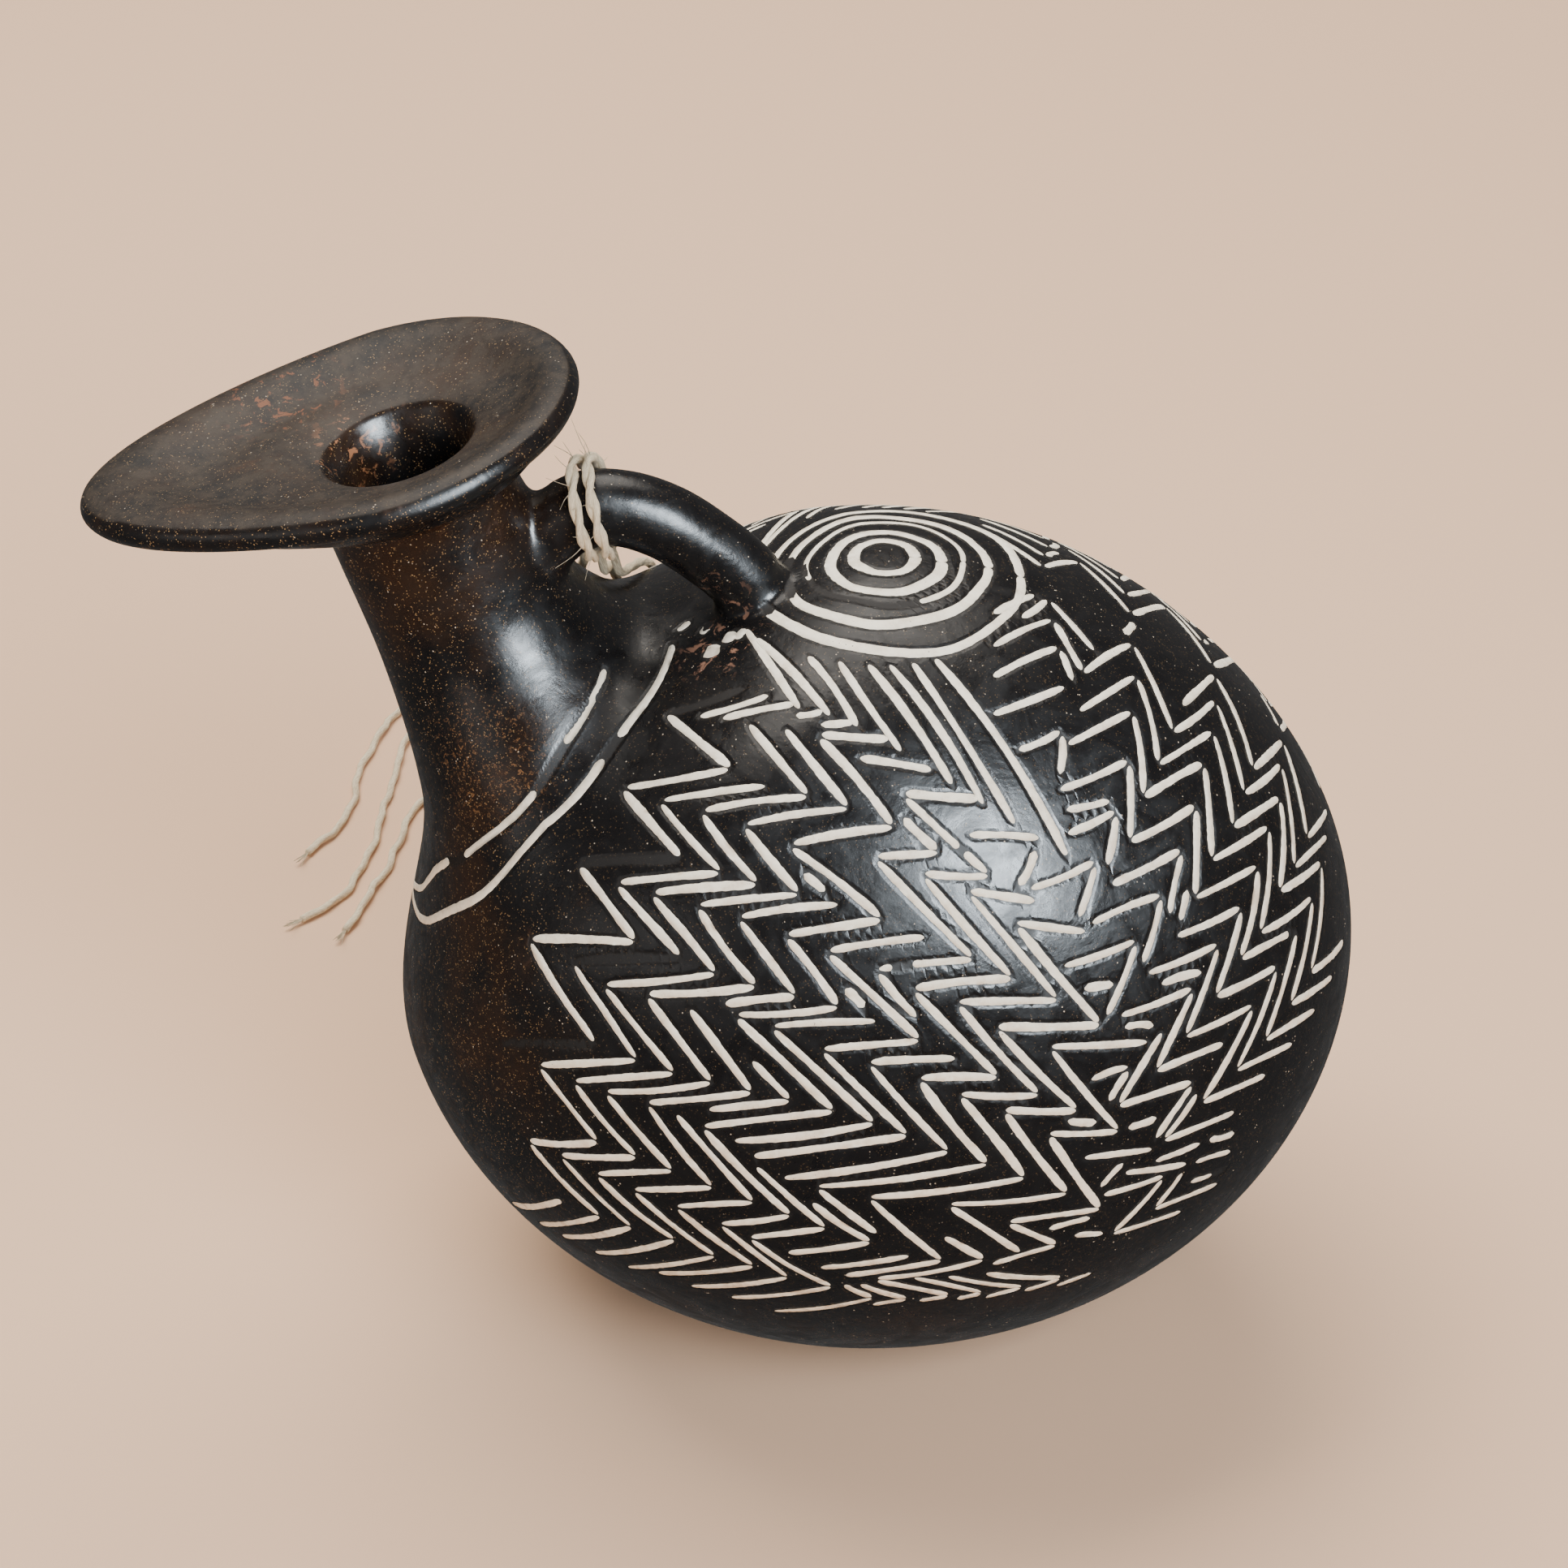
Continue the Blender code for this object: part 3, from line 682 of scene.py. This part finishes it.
# %% [markdown]
# Two fields of zigzags meet on each side. In the long side field the right corners lie on
# rows that droop to the tail, and each short stroke runs back to the left. In the tail
# field it is the other way round. Along a row the corners are 6.3 mm apart, so the count
# of lines grows as the body widens. Each row of the side field has its angle down, its
# droop, its lowest angle, the headings where it starts and where its paste is whole, and
# how far its short strokes reach and fall, each as pairs of a heading and a value.

# %% Rows of corners
nest_step = 0.0063
side_rows = (
    (26.0, 0.0, 50, -135, -127, ((-135, 12.5), (-110, 18), (-80, 16), (-57, 12)),
     ((-135, 8), (-113, 4.5), (-79, -1.6), (-57, -2.6))),
    (36.8, 0.0, 70, -129, -124, ((-127, 16.5), (-108, 19), (-88, 18), (-85, 10.4)),
     ((-127, 8), (-88, 2.9), (-77, -0.9), (-62, -3.2))),
    (49.2, 0.0, 80, -130, -122, ((-128, 15), (-50, 14)),
     ((-128, 6.5), (-89, 2.5), (-70, -0.6), (-60, -3.2))),
    (60.8, 0.06, 105, -128, -116, ((-115, 14.7), (-88, 14.2), (-76, 10.7), (-60, 9.5)),
     ((-115, 5.6), (-88, 1.5), (-68, -2.2))),
    (75.3, 0.07, 110, -133, -127, ((-107, 13.6), (-90, 19.2), (-74, 23), (-52, 8)),
     ((-119, 5.8), (-106, 4.2), (-80, 5.0), (-66, -1.0))),
    (90.3, 0.26, 105.5, -134, -140, ((-112, 10.6), (-101, 9.5), (-89, 12), (-74, 15)),
     ((-133, 5), (-100, 3))),
    (104.6, 0.24, 114.5, -138, -140, ((-137, 14), (-92, 16), (-79, 9), (-70, 5)),
     ((-115, 10), (-109, 6.6), (-92, 6), (-79, 1.5))),
)
tail_rows = (21.0, 33.0, 45.5, 58.5, 70.0, 82.0, 94.5, 107.0)


def blend_pairs(pairs, heading):
    return float(np.interp(heading, [p[0] for p in pairs], [p[1] for p in pairs]))


def side_corner(row, heading):
    base, droop, lowest = side_rows[row][:3]
    return min(lowest, base + 0.0083 * max(0.0, heading + 108.0) ** 2
               + droop * max(0.0, heading + 122.0))


def tail_corner(row, heading):
    return tail_rows[row] + 0.0070 * (heading + 4.0) ** 2


def headings_in(row_down, low, high, anchor):
    """Headings along a row, nest_step apart round the body, counted from the anchor."""
    found = []
    for way in (-1, 1):
        heading = anchor
        while low <= heading <= high:
            found.append(heading)
            heading += way * min(9.0, degrees_across(nest_step, row_down(heading)))
    return sorted(set(found))


def seam_heading(down):
    """Where the side field ends and the tail field begins."""
    return min(-57.0 + 0.2 * (down - 40.0), -44.0) if down < 104 else -55.0


def worn_fill(heading, whole_from):
    """Paste is often lost from the cuts at the far left of a row."""
    return hand.choice((0.0, 0.0, 0.3, 1.0)) if heading < whole_from else 1.0


print(len(side_rows), "rows at the side,", len(tail_rows), "at the tail")

# %% [markdown]
# A potter looks where there is still room before cutting the next line. So does this
# step: a new stroke is tried at 25 places along it, and only its longest free run is cut.
# Its ends may touch the strokes of its own field, which is how corners close. The long
# strokes join a row's left corners to the next row's right corners, in order. As each
# row has more corners than the one above, the spare ones get half a stroke.

# %% Cut where there is room
tries = 25
own_room, other_room = 0.0020, 0.0017


def guarded(start, end, side, mine, others=(), fill=1.0, least=9):
    """Cut a stroke, shortened where it would run into strokes that are there already."""
    shares = [k / (tries - 1) for k in range(tries)]
    turn, fall = end[0] - start[0], end[1] - start[1]
    points = [skin_at(start[0] + turn * t, start[1] + fall * t) for t in shares]
    if None in points:
        return
    spots = np.array(points)
    free = np.ones(tries, bool)
    ends = np.minimum(np.array(shares), 1.0 - np.array(shares)) / 0.25
    for rows, limit in ((mine, own_room * np.minimum(ends, 1.0)), (others, other_room)):
        if len(rows):
            there = np.array([(r[0].x, side * r[0].y, r[0].z) for row in rows for r in row])
            free &= np.linalg.norm(spots[:, None] - there[None], axis=2).min(axis=1) > limit
    best, run = [], []
    for k in range(tries):
        run = run + [k] if free[k] else []
        best = run if len(run) > len(best) else best
    if len(best) >= least:
        a, b = shares[best[0]], shares[best[-1]]
        stroke((start[0] + turn * a, start[1] + fall * a),
               (start[0] + turn * b, start[1] + fall * b), side, fill=fill)


def join_rows(senders, receivers, steps, reach=4.6):
    """Pairs of corners for the long strokes, in order, each corner used once."""
    pairs, free = [], sorted(receivers)
    for start in sorted(senders):
        aim = start[0] + blend_pairs(steps, start[0])
        end = min(free, key=lambda c: abs(c[0] - aim), default=None)
        if end and abs(end[0] - aim) < reach:
            free = [c for c in free if c[0] > end[0]]
            pairs.append((start, end))
    used = {end for _, end in pairs}
    halves = []
    for end in receivers:
        if pairs and end not in used and min(used)[0] < end[0] < max(used)[0]:
            a, b = min(pairs, key=lambda pair: abs(pair[1][0] - end[0]))
            halves.append(((end[0] + 0.55 * (a[0] - b[0]), end[1] + 0.55 * (a[1] - b[1])), end))
    return pairs + halves


print("strokes keep", own_room * 1000, "mm apart")

# %% [markdown]
# Now both fields are cut, first on the near side and then mirrored onto the far side,
# with new errors of the hand. The side field goes down row by row: its short strokes,
# then the long ones that reach them from above. A few lines come down from the rings to
# its top row. The tail field follows, and last the gaps along the seam of the two fields
# are filled with short strokes.

# %% Cut both fields
tops = ((-155.4, -113), (-146, -104.3), (-118, -96.5), (-105.6, -85.5), (-94.5, -75.1),
        (-86.6, -69.7), (-78, -64.8), (-69.2, -57.4))
long_steps = (((-147, 20), (-120, 19.5), (-100, 15), (-86, 14.5)), ((-145, 15.5), (-115, 14), (-85, 11)),
              ((-120, 10.5), (-70, 9.5)), ((-130, 11.5), (-80, 10.5)), ((-130, 9.5), (-80, 8)),
              ((-140, 9), (-80, 8.3)))
for side in (1, -1):
    side_from = len(cuts)
    lefts = []
    for row, (_, _, _, first, whole_from, reach, fall) in enumerate(side_rows):
        rights = [(h + jitter(0.5), side_corner(row, h) + jitter(0.4))
                  for h in headings_in(lambda h: side_corner(row, h), first, -40.0, -97.0)
                  if h < seam_heading(side_corner(row, h))]
        senders, lefts = lefts, []
        for heading, down in rights:
            across = blend_pairs(reach, heading) * hand.uniform(0.96, 1.03)
            left = (heading - across, down + blend_pairs(fall, heading) + jitter(0.3))
            lefts.append(left)
            guarded((heading, down), left, side, cuts[side_from:], fill=worn_fill(heading, whole_from))
        for start, end in (join_rows(senders, rights, long_steps[row - 1]) if row else ()):
            if end[1] > start[1] + 1.5:
                guarded((start[0], start[1] + 0.7), (end[0], end[1] - 0.5), side, cuts[side_from:])
    for start, end in tops:
        stroke((start, 19.0), (end, side_corner(0, end) + 0.3), side)

    tail_from = len(cuts)
    peaks = []
    for row in range(len(tail_rows)):
        new_peaks, backs = [], []
        for heading in headings_in(lambda h: tail_corner(row, h), -62.0, 3.0, -2.0):
            down = tail_corner(row, heading) + jitter(0.4)
            if down > 109.0 - 0.80 * max(0.0, heading + 45.0):
                continue
            across = degrees_across(0.0125 + jitter(0.0006), down)
            back = (heading - across, down - 4.0 + 0.08 * abs(heading) + jitter(0.3))
            new_peaks.append((heading, down))
            backs.append(back)
            guarded((heading, down), back, side, cuts[tail_from:], cuts[side_from:tail_from])
        for start, end in join_rows(peaks, backs, ((-58, -9.5 if row > 1 else -13.0),)):
            guarded((start[0], start[1] + 0.7), (end[0], end[1] - 0.5), side,
                    cuts[tail_from:], cuts[side_from:tail_from])
        peaks = new_peaks

    for down in np.arange(44.0, 106.0, 3.6):
        for heading in np.arange(-66.0, -38.0, 3.4):
            across = degrees_across(0.0070, down)
            guarded((heading, down + jitter(0.5)), (heading - across, down - 1.5), side,
                    cuts[tail_from:], cuts[side_from:tail_from], least=17)
print(len(cuts), "strokes")

# %% [markdown]
# At the handle's lower root some paste was smeared by accident and never wiped off.

# %% Smears of paste at the handle's root
for heading, down, reach, wide in ((-156.5, 24.3, 2.2, 0.0026), (-157.6, 21.4, 1.8, 0.0022),
                                   (-170.0, 23.8, 1.6, 0.0018), (-154.8, 20.0, 1.4, 0.0014),
                                   (-176.0, 26.6, 1.6, 0.0014)):
    stroke((heading - reach, down - 1.0), (heading + reach, down + 0.6), 1, width=wide, fill=0.85)

# %% [markdown]
# Five rings sit on top of the back, cut round one point. The middle one is thin and has
# lost some of its paste. Two more lines go round the foot of the neck, each in a plane of
# its own, like a cord laid over the shoulder.

# %% Cut the rings
ring_middle = skin_at(0.0, 2.1)
for radius, width, ahead, aside, lost in (
    (0.0047, 0.0017, -0.0016, 0.0003, False),
    (0.0085, 0.0018, -0.0014, -0.0004, False),
    (0.0120, 0.0010, -0.0014, 0.0004, True),
    (0.0153, 0.0018, -0.0013, 0.0, False),
    (0.0198, 0.0017, -0.0003, -0.0005, False),
):
    rows = []
    for k in range(121):
        turn = math.radians(3 * k)
        wave = 1.0 + 0.012 * math.sin(3 * turn + radius * 900) + 0.010 * math.sin(7 * turn + radius * 500)
        spot = ring_middle + Vector((ahead, aside, 0))
        spot += radius * wave * Vector((math.cos(turn), 1.02 * math.sin(turn), 0))
        point = body_skin.ray_cast(Vector((spot.x, spot.y, 0.2)), Vector((0, 0, -1)))[0]
        thick = width * (1.0 + 0.14 * math.sin(2 * turn + radius * 300))
        rows.append((point, thick / 2, 0.1 if lost and 195 < 3 * k < 292 else 1.0))
    cuts.append(rows)

for normal, levels, middle, width, first, last, gaps in (
    ((0.809, 0.0, -0.588), ((180, -0.1064), (215, -0.1098), (245, -0.1118), (270, -0.1111),
                            (310, -0.1097), (330, -0.1090)),
     (-0.057, 0.0, 0.105), 0.0013, 64, 336, ((296, 303, 0.0), (303, 308, 0.5), (248, 256, 0.25))),
    ((0.719, 0.0, -0.695), ((180, -0.1078), (215, -0.1100), (240, -0.1118), (280, -0.1142),
                            (320, -0.1130), (345, -0.1118)),
     (-0.050, 0.0, 0.105), 0.0014, 64, 348, ((299, 312, 0.55),)),
):
    normal, middle = Vector(normal), Vector(middle)
    middle -= normal * middle.dot(normal)
    across = normal.cross(Vector((0, 1, 0))).normalized()
    rows = []
    for angle in range(first, last + 1, 2):
        turn = math.radians(angle)
        way = across * math.cos(turn) + Vector((0, 1, 0)) * math.sin(turn)
        level = blend_pairs(levels, 180 + abs(180 - angle)) + 0.0002 * math.sin(9 * turn)
        point = body_skin.ray_cast(middle + normal * level, way)[0]
        fill = min([g[2] for g in gaps if g[0] <= angle <= g[1]], default=1.0)
        if point is not None:
            rows.append((point, width / 2 * (1.0 + 0.12 * math.sin(5 * turn)), fill))
    cuts.append(rows)
    print("neck line", len(rows), "points")

# %% [markdown]
# How far is each point of the skin from the nearest cut? The distance from the cut's edge in millimetres
# is stored on the mesh. The clay's look reads it to sink a groove, with painted shade along it. Cuts that
# lost their paste stay dark grooves.

# %% Store the distance to the cuts on the skin
samples = [(row, k) for row in cuts for k in range(len(row))]
lookup = kdtree.KDTree(len(samples))
for index, (row, k) in enumerate(samples):
    lookup.insert(row[k][0], index)
lookup.balance()

gap_layer = shape.verts.layers.float.new("cut_gap")
matt_layer = shape.verts.layers.float.new("matt")
rim_up = Vector((-math.sin(rim_tilt), 0.0, math.cos(rim_tilt)))
far_from_cuts, reach_of_cuts = 3.0, 0.004
rim_from, rim_behind = 0.14, -0.045
for vert in shape.verts:
    _, index, away = lookup.find(vert.co)
    row, k = samples[index]
    near = away < reach_of_cuts and vert.co.z > 0.0001
    vert[gap_layer] = min((away - row[k][1]) * 1000, far_from_cuts) if near else far_from_cuts
    on_rim = vert.co.x < rim_behind and vert.co.z > rim_from
    vert[matt_layer] = 1.0 if on_rim and vert.normal.dot(rim_up) > 0.86 else 0.0
old = vessel.data
for face in shape.faces:
    face.smooth = True
shape.to_mesh(welded)
shape.free()
vessel.data = welded
bpy.data.meshes.remove(old)
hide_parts("vessel_belly", "vessel_top")
print("vessel points", len(vessel.data.vertices))

# %% [markdown]
# The paste fills the cuts level with the skin, as thin ribbons with ragged edges and
# round ends. Here each run of paste is a grid four faces wide, laid along its cut. Where
# the paste has fallen out the ribbon is broken off, and the bare groove shows.

# %% Ribbons of paste
def nap(point, scale):
    """A soft random number from 0 to 1 that belongs to a place."""
    return 0.5 + 0.5 * noise.noise(point * scale)


def paste_runs(row):
    """Split a cut into the runs that still hold their paste."""
    runs, run = [], []
    for point, half, fill in row:
        held = nap(point, 210.0) < 0.86 if fill == 1.0 else nap(point, 420.0) < 0.15 + 0.6 * fill
        if held:
            run.append((point, half))
        elif run:
            runs.append(run)
            run = []
    return [r for r in runs + [run] if len(r) > 2]


paste_across = ((-1.0, -0.00010), (-0.90, 0.00003), (0.0, 0.00001), (0.90, 0.00003), (1.0, -0.00010))


def lay_paste(bm, run):
    """Lay one ribbon of paste along a run of points."""
    spots = [(run[0][0], 0.30), (run[0][0].lerp(run[1][0], 0.35), 0.80)]
    spots += [(point, 1.0) for point, _ in run[1:-1]]
    spots += [(run[-1][0].lerp(run[-2][0], 0.35), 0.80), (run[-1][0], 0.30)]
    halves = [run[0][1]] + [half for _, half in run] + [run[-1][1]]
    made = bmesh.ops.create_grid(bm, x_segments=len(spots) - 1, y_segments=4, size=1.0)["verts"]
    made.sort(key=lambda v: (round(v.co.x, 4), round(v.co.y, 4)))
    for k, (point, share) in enumerate(spots):
        ahead = (spots[min(k + 1, len(spots) - 1)][0] - spots[max(k - 1, 0)][0]).normalized()
        up = body_skin.find_nearest(point)[1]
        up = up if up.dot(point - globe_middle) > 0 else -up
        aside = up.cross(ahead).normalized()
        for j, (across, rise) in enumerate(paste_across):
            ragged = 1.0 + 0.42 * (nap(point + aside * across * 0.01, 1100.0) - 0.5)
            made[5 * k + j].co = point + aside * across * halves[k] * share * ragged + up * rise


print("ribbons have", len(paste_across) - 1, "faces across")

# %% [markdown]
# All runs of paste go into one mesh. Its faces are open ribbons, so each one is turned by
# hand to look away from the body's middle.

# %% Lay the paste in every cut
paste_look, nodes, links = nodes_of("white_paste")
paste_shape = bmesh.new()
for row in cuts:
    for run in paste_runs(row):
        lay_paste(paste_shape, run)
for face in paste_shape.faces:
    face.normal_update()
    if face.normal.dot(face.calc_center_median() - globe_middle) < 0:
        face.normal_flip()
    face.smooth = True
paste_mesh = bpy.data.meshes.new("paste")
print("paste", len(paste_shape.faces), "faces")
paste_shape.to_mesh(paste_mesh)
paste_shape.free()
paste_mesh.materials.append(paste_look)
paste_piece = bpy.data.objects.new("paste", paste_mesh)
bpy.context.scene.collection.objects.link(paste_piece)
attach(paste_piece, "root")

# %% [markdown]
# Burnished clay is black where the smoke of the fire went into it, brown where it did
# not, and full of fine pale grit. It shines because it was rubbed with a pebble, so the
# shine is streaky. All of it comes from noise in the piece's own coordinates, so we make
# a few helpers for such noise first.

# %% Helpers for looks
def set_up(look):
    """Start a look: its nodes, its links and its object coordinates."""
    global nodes, links, place
    nodes, links = look.node_tree.nodes, look.node_tree.links
    place = nodes.new("ShaderNodeTexCoord").outputs["Object"]
    return nodes["Principled BSDF"]


def join_up(value, socket):
    if isinstance(value, (int, float)):
        socket.default_value = value
    elif isinstance(value, tuple):
        socket.default_value = (*value, 1)
    else:
        links.new(value, socket)


def noise_of(scale, detail=4.0, rough=0.55, warp=0.0, where=None):
    node = nodes.new("ShaderNodeTexNoise")
    for name, value in (("Scale", scale), ("Detail", detail), ("Roughness", rough), ("Distortion", warp)):
        node.inputs[name].default_value = value
    links.new(where or place, node.inputs["Vector"])
    return node.outputs["Fac"]


def specks_of(scale, size, rarity):
    """Small round grains: the cell centres of a Voronoi, kept where a noise is high."""
    node = nodes.new("ShaderNodeTexVoronoi")
    node.inputs["Scale"].default_value = scale
    links.new(place, node.inputs["Vector"])
    return math_of("MULTIPLY", ramp(node.outputs["Distance"], size, size * 0.4),
                   ramp(noise_of(scale * 0.55, 2), rarity, rarity + 0.08))


def ramp(source, low, high, to_low=0.0, to_high=1.0):
    node = nodes.new("ShaderNodeMapRange")
    node.interpolation_type = "SMOOTHSTEP"
    for name, value in (("From Min", low), ("From Max", high), ("To Min", to_low), ("To Max", to_high)):
        node.inputs[name].default_value = value
    links.new(source, node.inputs["Value"])
    return node.outputs["Result"]


def math_of(operation, a, b=0.0):
    node = nodes.new("ShaderNodeMath")
    node.operation = operation
    join_up(a, node.inputs[0])
    join_up(b, node.inputs[1])
    return node.outputs["Value"]


def blend_colour(share, a, b):
    node = nodes.new("ShaderNodeMix")
    node.data_type = "RGBA"
    join_up(share, node.inputs["Factor"])
    join_up(a, node.inputs[6])
    join_up(b, node.inputs[7])
    return node.outputs[2]


def lay_over(under, tone, mask, share=1.0):
    """Lay a tone over a colour, where the mask says and only so strongly."""
    return blend_colour(math_of("MULTIPLY", mask, share), under, tone)


def stored(name):
    """A number that the mesh carries on its points."""
    node = nodes.new("ShaderNodeAttribute")
    node.attribute_name = name
    return node.outputs["Fac"]


def axis_of(name):
    node = nodes.new("ShaderNodeSeparateXYZ")
    links.new(place, node.inputs["Vector"])
    return node.outputs[name]


def near_to(spot, reach):
    """1 near a place on the piece, fading to 0 at the reach."""
    node = nodes.new("ShaderNodeVectorMath")
    node.operation = "DISTANCE"
    links.new(place, node.inputs[0])
    node.inputs[1].default_value = spot
    return ramp(node.outputs["Value"], reach, reach * 0.4)


def add_relief(shader, *layers):
    """Add up layers, each a pattern and its height in metres, and bend the shading."""
    total = 0.0
    for pattern, height in layers:
        total = math_of("ADD", math_of("MULTIPLY", pattern, height), total)
    bump = nodes.new("ShaderNodeBump")
    bump.inputs["Strength"].default_value = 1.0
    bump.inputs["Distance"].default_value = 1.0
    links.new(total, bump.inputs["Height"])
    links.new(bump.outputs["Normal"], shader.inputs["Normal"])


# %% [markdown]
# The clay's colour is built up in layers, each laid over the last by a mask: smoke black, brown at the
# neck, brown on the underside as a painted warm reflection of the floor, rust, gold and pale grit, painted
# shade in the grooves, dull brown on the rim's top. The chips and flecks are kept near the places where
# the real one has them. The same masks make the shine duller, and relief is added at the end.

# %% Look of the clay
shader = set_up(clay)
gap = math_of("ADD", stored("cut_gap"), math_of("MULTIPLY", noise_of(1400, 3), 0.3))
cut = ramp(gap, 0.80, 0.0)
matt = stored("matt")
front = ramp(axis_of("X"), -0.038, -0.062)
low = ramp(axis_of("Z"), 0.060, 0.010)

colour = blend_colour(noise_of(120, 6), (0.0030, 0.0030, 0.0040), (0.0095, 0.0090, 0.0095))
# Brown at the neck is the clay's own colour; towards the bottom this brown is a painted warm reflection of
# the floor, which the clay does not mirror.
brown_and_floor_reflection = math_of("MULTIPLY", ramp(noise_of(45, 7, 0.65), 0.42, 0.66),
                math_of("MAXIMUM", math_of("MULTIPLY", front, 0.9), math_of("MULTIPLY", low, 0.75)))
colour = blend_colour(brown_and_floor_reflection, colour, (0.027, 0.0130, 0.0065))
rust = math_of("MULTIPLY", ramp(noise_of(90, 8, 0.75), 0.60, 0.74), front)
colour = lay_over(colour, (0.10, 0.042, 0.018), rust, 0.5)
gold = specks_of(2600, 0.36, 0.50)
pale = specks_of(1250, 0.20, 0.57)
colour = lay_over(colour, (0.36, 0.23, 0.11), gold, math_of("ADD", math_of("MULTIPLY", front, 0.6), 0.2))
colour = blend_colour(pale, colour, (0.58, 0.50, 0.40))
# Painted shade: the colour is darkened in and beside each groove, where its edge would shade it.
colour = lay_over(colour, (0.012, 0.010, 0.009), cut, 0.8)
colour = lay_over(colour, (0.036, 0.027, 0.020), matt, ramp(noise_of(300, 8, 0.75), 0.38, 0.66, 0.15, 1.0))
chips = ramp(noise_of(420, 7, 0.65, 0.6), 0.57, 0.62)
for spot, reach, tone in (
    ((-0.0913, 0.0163, 0.1607), 0.0120, (0.15, 0.058, 0.028)),
    ((-0.0766, 0.0038, 0.1583), 0.0105, (0.33, 0.15, 0.075)),
    ((-0.0255, -0.0110, 0.1350), 0.0100, (0.30, 0.16, 0.11)),
):
    colour = lay_over(colour, tone, near_to(spot, reach), chips)
shoulder_spot = near_to((-0.0600, -0.026, 0.1200), 0.0150)
flecks = math_of("MULTIPLY", shoulder_spot, ramp(noise_of(1700, 4, 0.7, 1.0), 0.56, 0.64))
colour = lay_over(colour, (0.30, 0.15, 0.065), flecks, 0.6)
scuffs = math_of("MULTIPLY", ramp(noise_of(240, 8, 0.75), 0.70, 0.74), ramp(axis_of("X"), 0.01, -0.04))
colour = lay_over(colour, (0.42, 0.40, 0.37), scuffs, 0.6)
join_up(colour, shader.inputs["Base Color"])
print("clay colour has", len(nodes), "nodes")

# %% [markdown]
# The pebble that rubbed the clay left streaks, so the shine is not the same all over. A
# low specular level keeps the black deep. The relief is only tenths of a millimetre: the
# grooves, fine grain, and the soft dents of the potter's fingers.

# %% Shine and relief of the clay
streaks = noise_of(150, 4, 0.55, 1.4)
gloss = ramp(streaks, 0.30, 0.72, 0.24, 0.40)
gloss = math_of("ADD", gloss, math_of("MULTIPLY", math_of("MAXIMUM", rust, pale), 0.3))
gloss = math_of("MAXIMUM", gloss, math_of("MULTIPLY", cut, 0.6))
gloss = math_of("MAXIMUM", gloss, math_of("MULTIPLY", matt, 0.56))
join_up(gloss, shader.inputs["Roughness"])
shader.inputs["Specular IOR Level"].default_value = 0.24

add_relief(shader, (cut, -0.00013), (noise_of(1000, 6, 0.65), 0.000035),
           (noise_of(110, 3, 0.5, 0.8), 0.00016), (streaks, 0.00007))
print("clay look has", len(nodes), "nodes")

# %% [markdown]
# The paste is chalk or ground bone, dull and a little grainy. It has random patches of dirt, and it turns
# browner towards the bottom of the body.

# %% Look of the paste
shader = set_up(paste_look)
low = ramp(axis_of("Z"), 0.068, 0.020)
colour = blend_colour(noise_of(650, 6, 0.6), (0.86, 0.79, 0.63), (1.0, 0.96, 0.86))
dirt = math_of("MULTIPLY", ramp(noise_of(330, 6, 0.7), 0.42, 0.70),
               math_of("ADD", math_of("MULTIPLY", low, 0.65), 0.33))
colour = lay_over(colour, (0.66, 0.53, 0.36), low, 0.55)
colour = blend_colour(dirt, colour, (0.40, 0.27, 0.16))
colour = blend_colour(ramp(noise_of(1900, 4, 0.7), 0.66, 0.74), colour, (0.16, 0.12, 0.09))
join_up(colour, shader.inputs["Base Color"])
shader.inputs["Roughness"].default_value = 0.72
add_relief(shader, (noise_of(1500, 6, 0.7), 0.00009), (noise_of(420, 3), 0.00012))
print("paste look has", len(nodes), "nodes")

# %% [markdown]
# Jute is a dry straw-coloured fibre. Its fibres run along the strand, so the noise is
# stretched along the strand's own length, which each tube stores on its points.

# %% Look of the jute
shader = set_up(jute)
gone, turned = stored("far"), stored("turn")
weave = nodes.new("ShaderNodeCombineXYZ")
join_up(math_of("MULTIPLY", gone, 500.0), weave.inputs["X"])
join_up(math_of("ADD", math_of("MULTIPLY", turned, 3.0), math_of("MULTIPLY", gone, 900.0)),
        weave.inputs["Y"])
fibres = noise_of(1.6, 5, 0.65, 0.0, weave.outputs["Vector"])
colour = blend_colour(ramp(fibres, 0.25, 0.60), (0.50, 0.36, 0.20), (0.92, 0.81, 0.60))
colour = blend_colour(ramp(noise_of(260, 4), 0.55, 0.80, 0.0, 0.45), colour, (0.50, 0.35, 0.19))
join_up(colour, shader.inputs["Base Color"])
shader.inputs["Roughness"].default_value = 0.82
add_relief(shader, (fibres, 0.00030), (noise_of(2500, 4), 0.00008))
print("jute look has", len(nodes), "nodes")
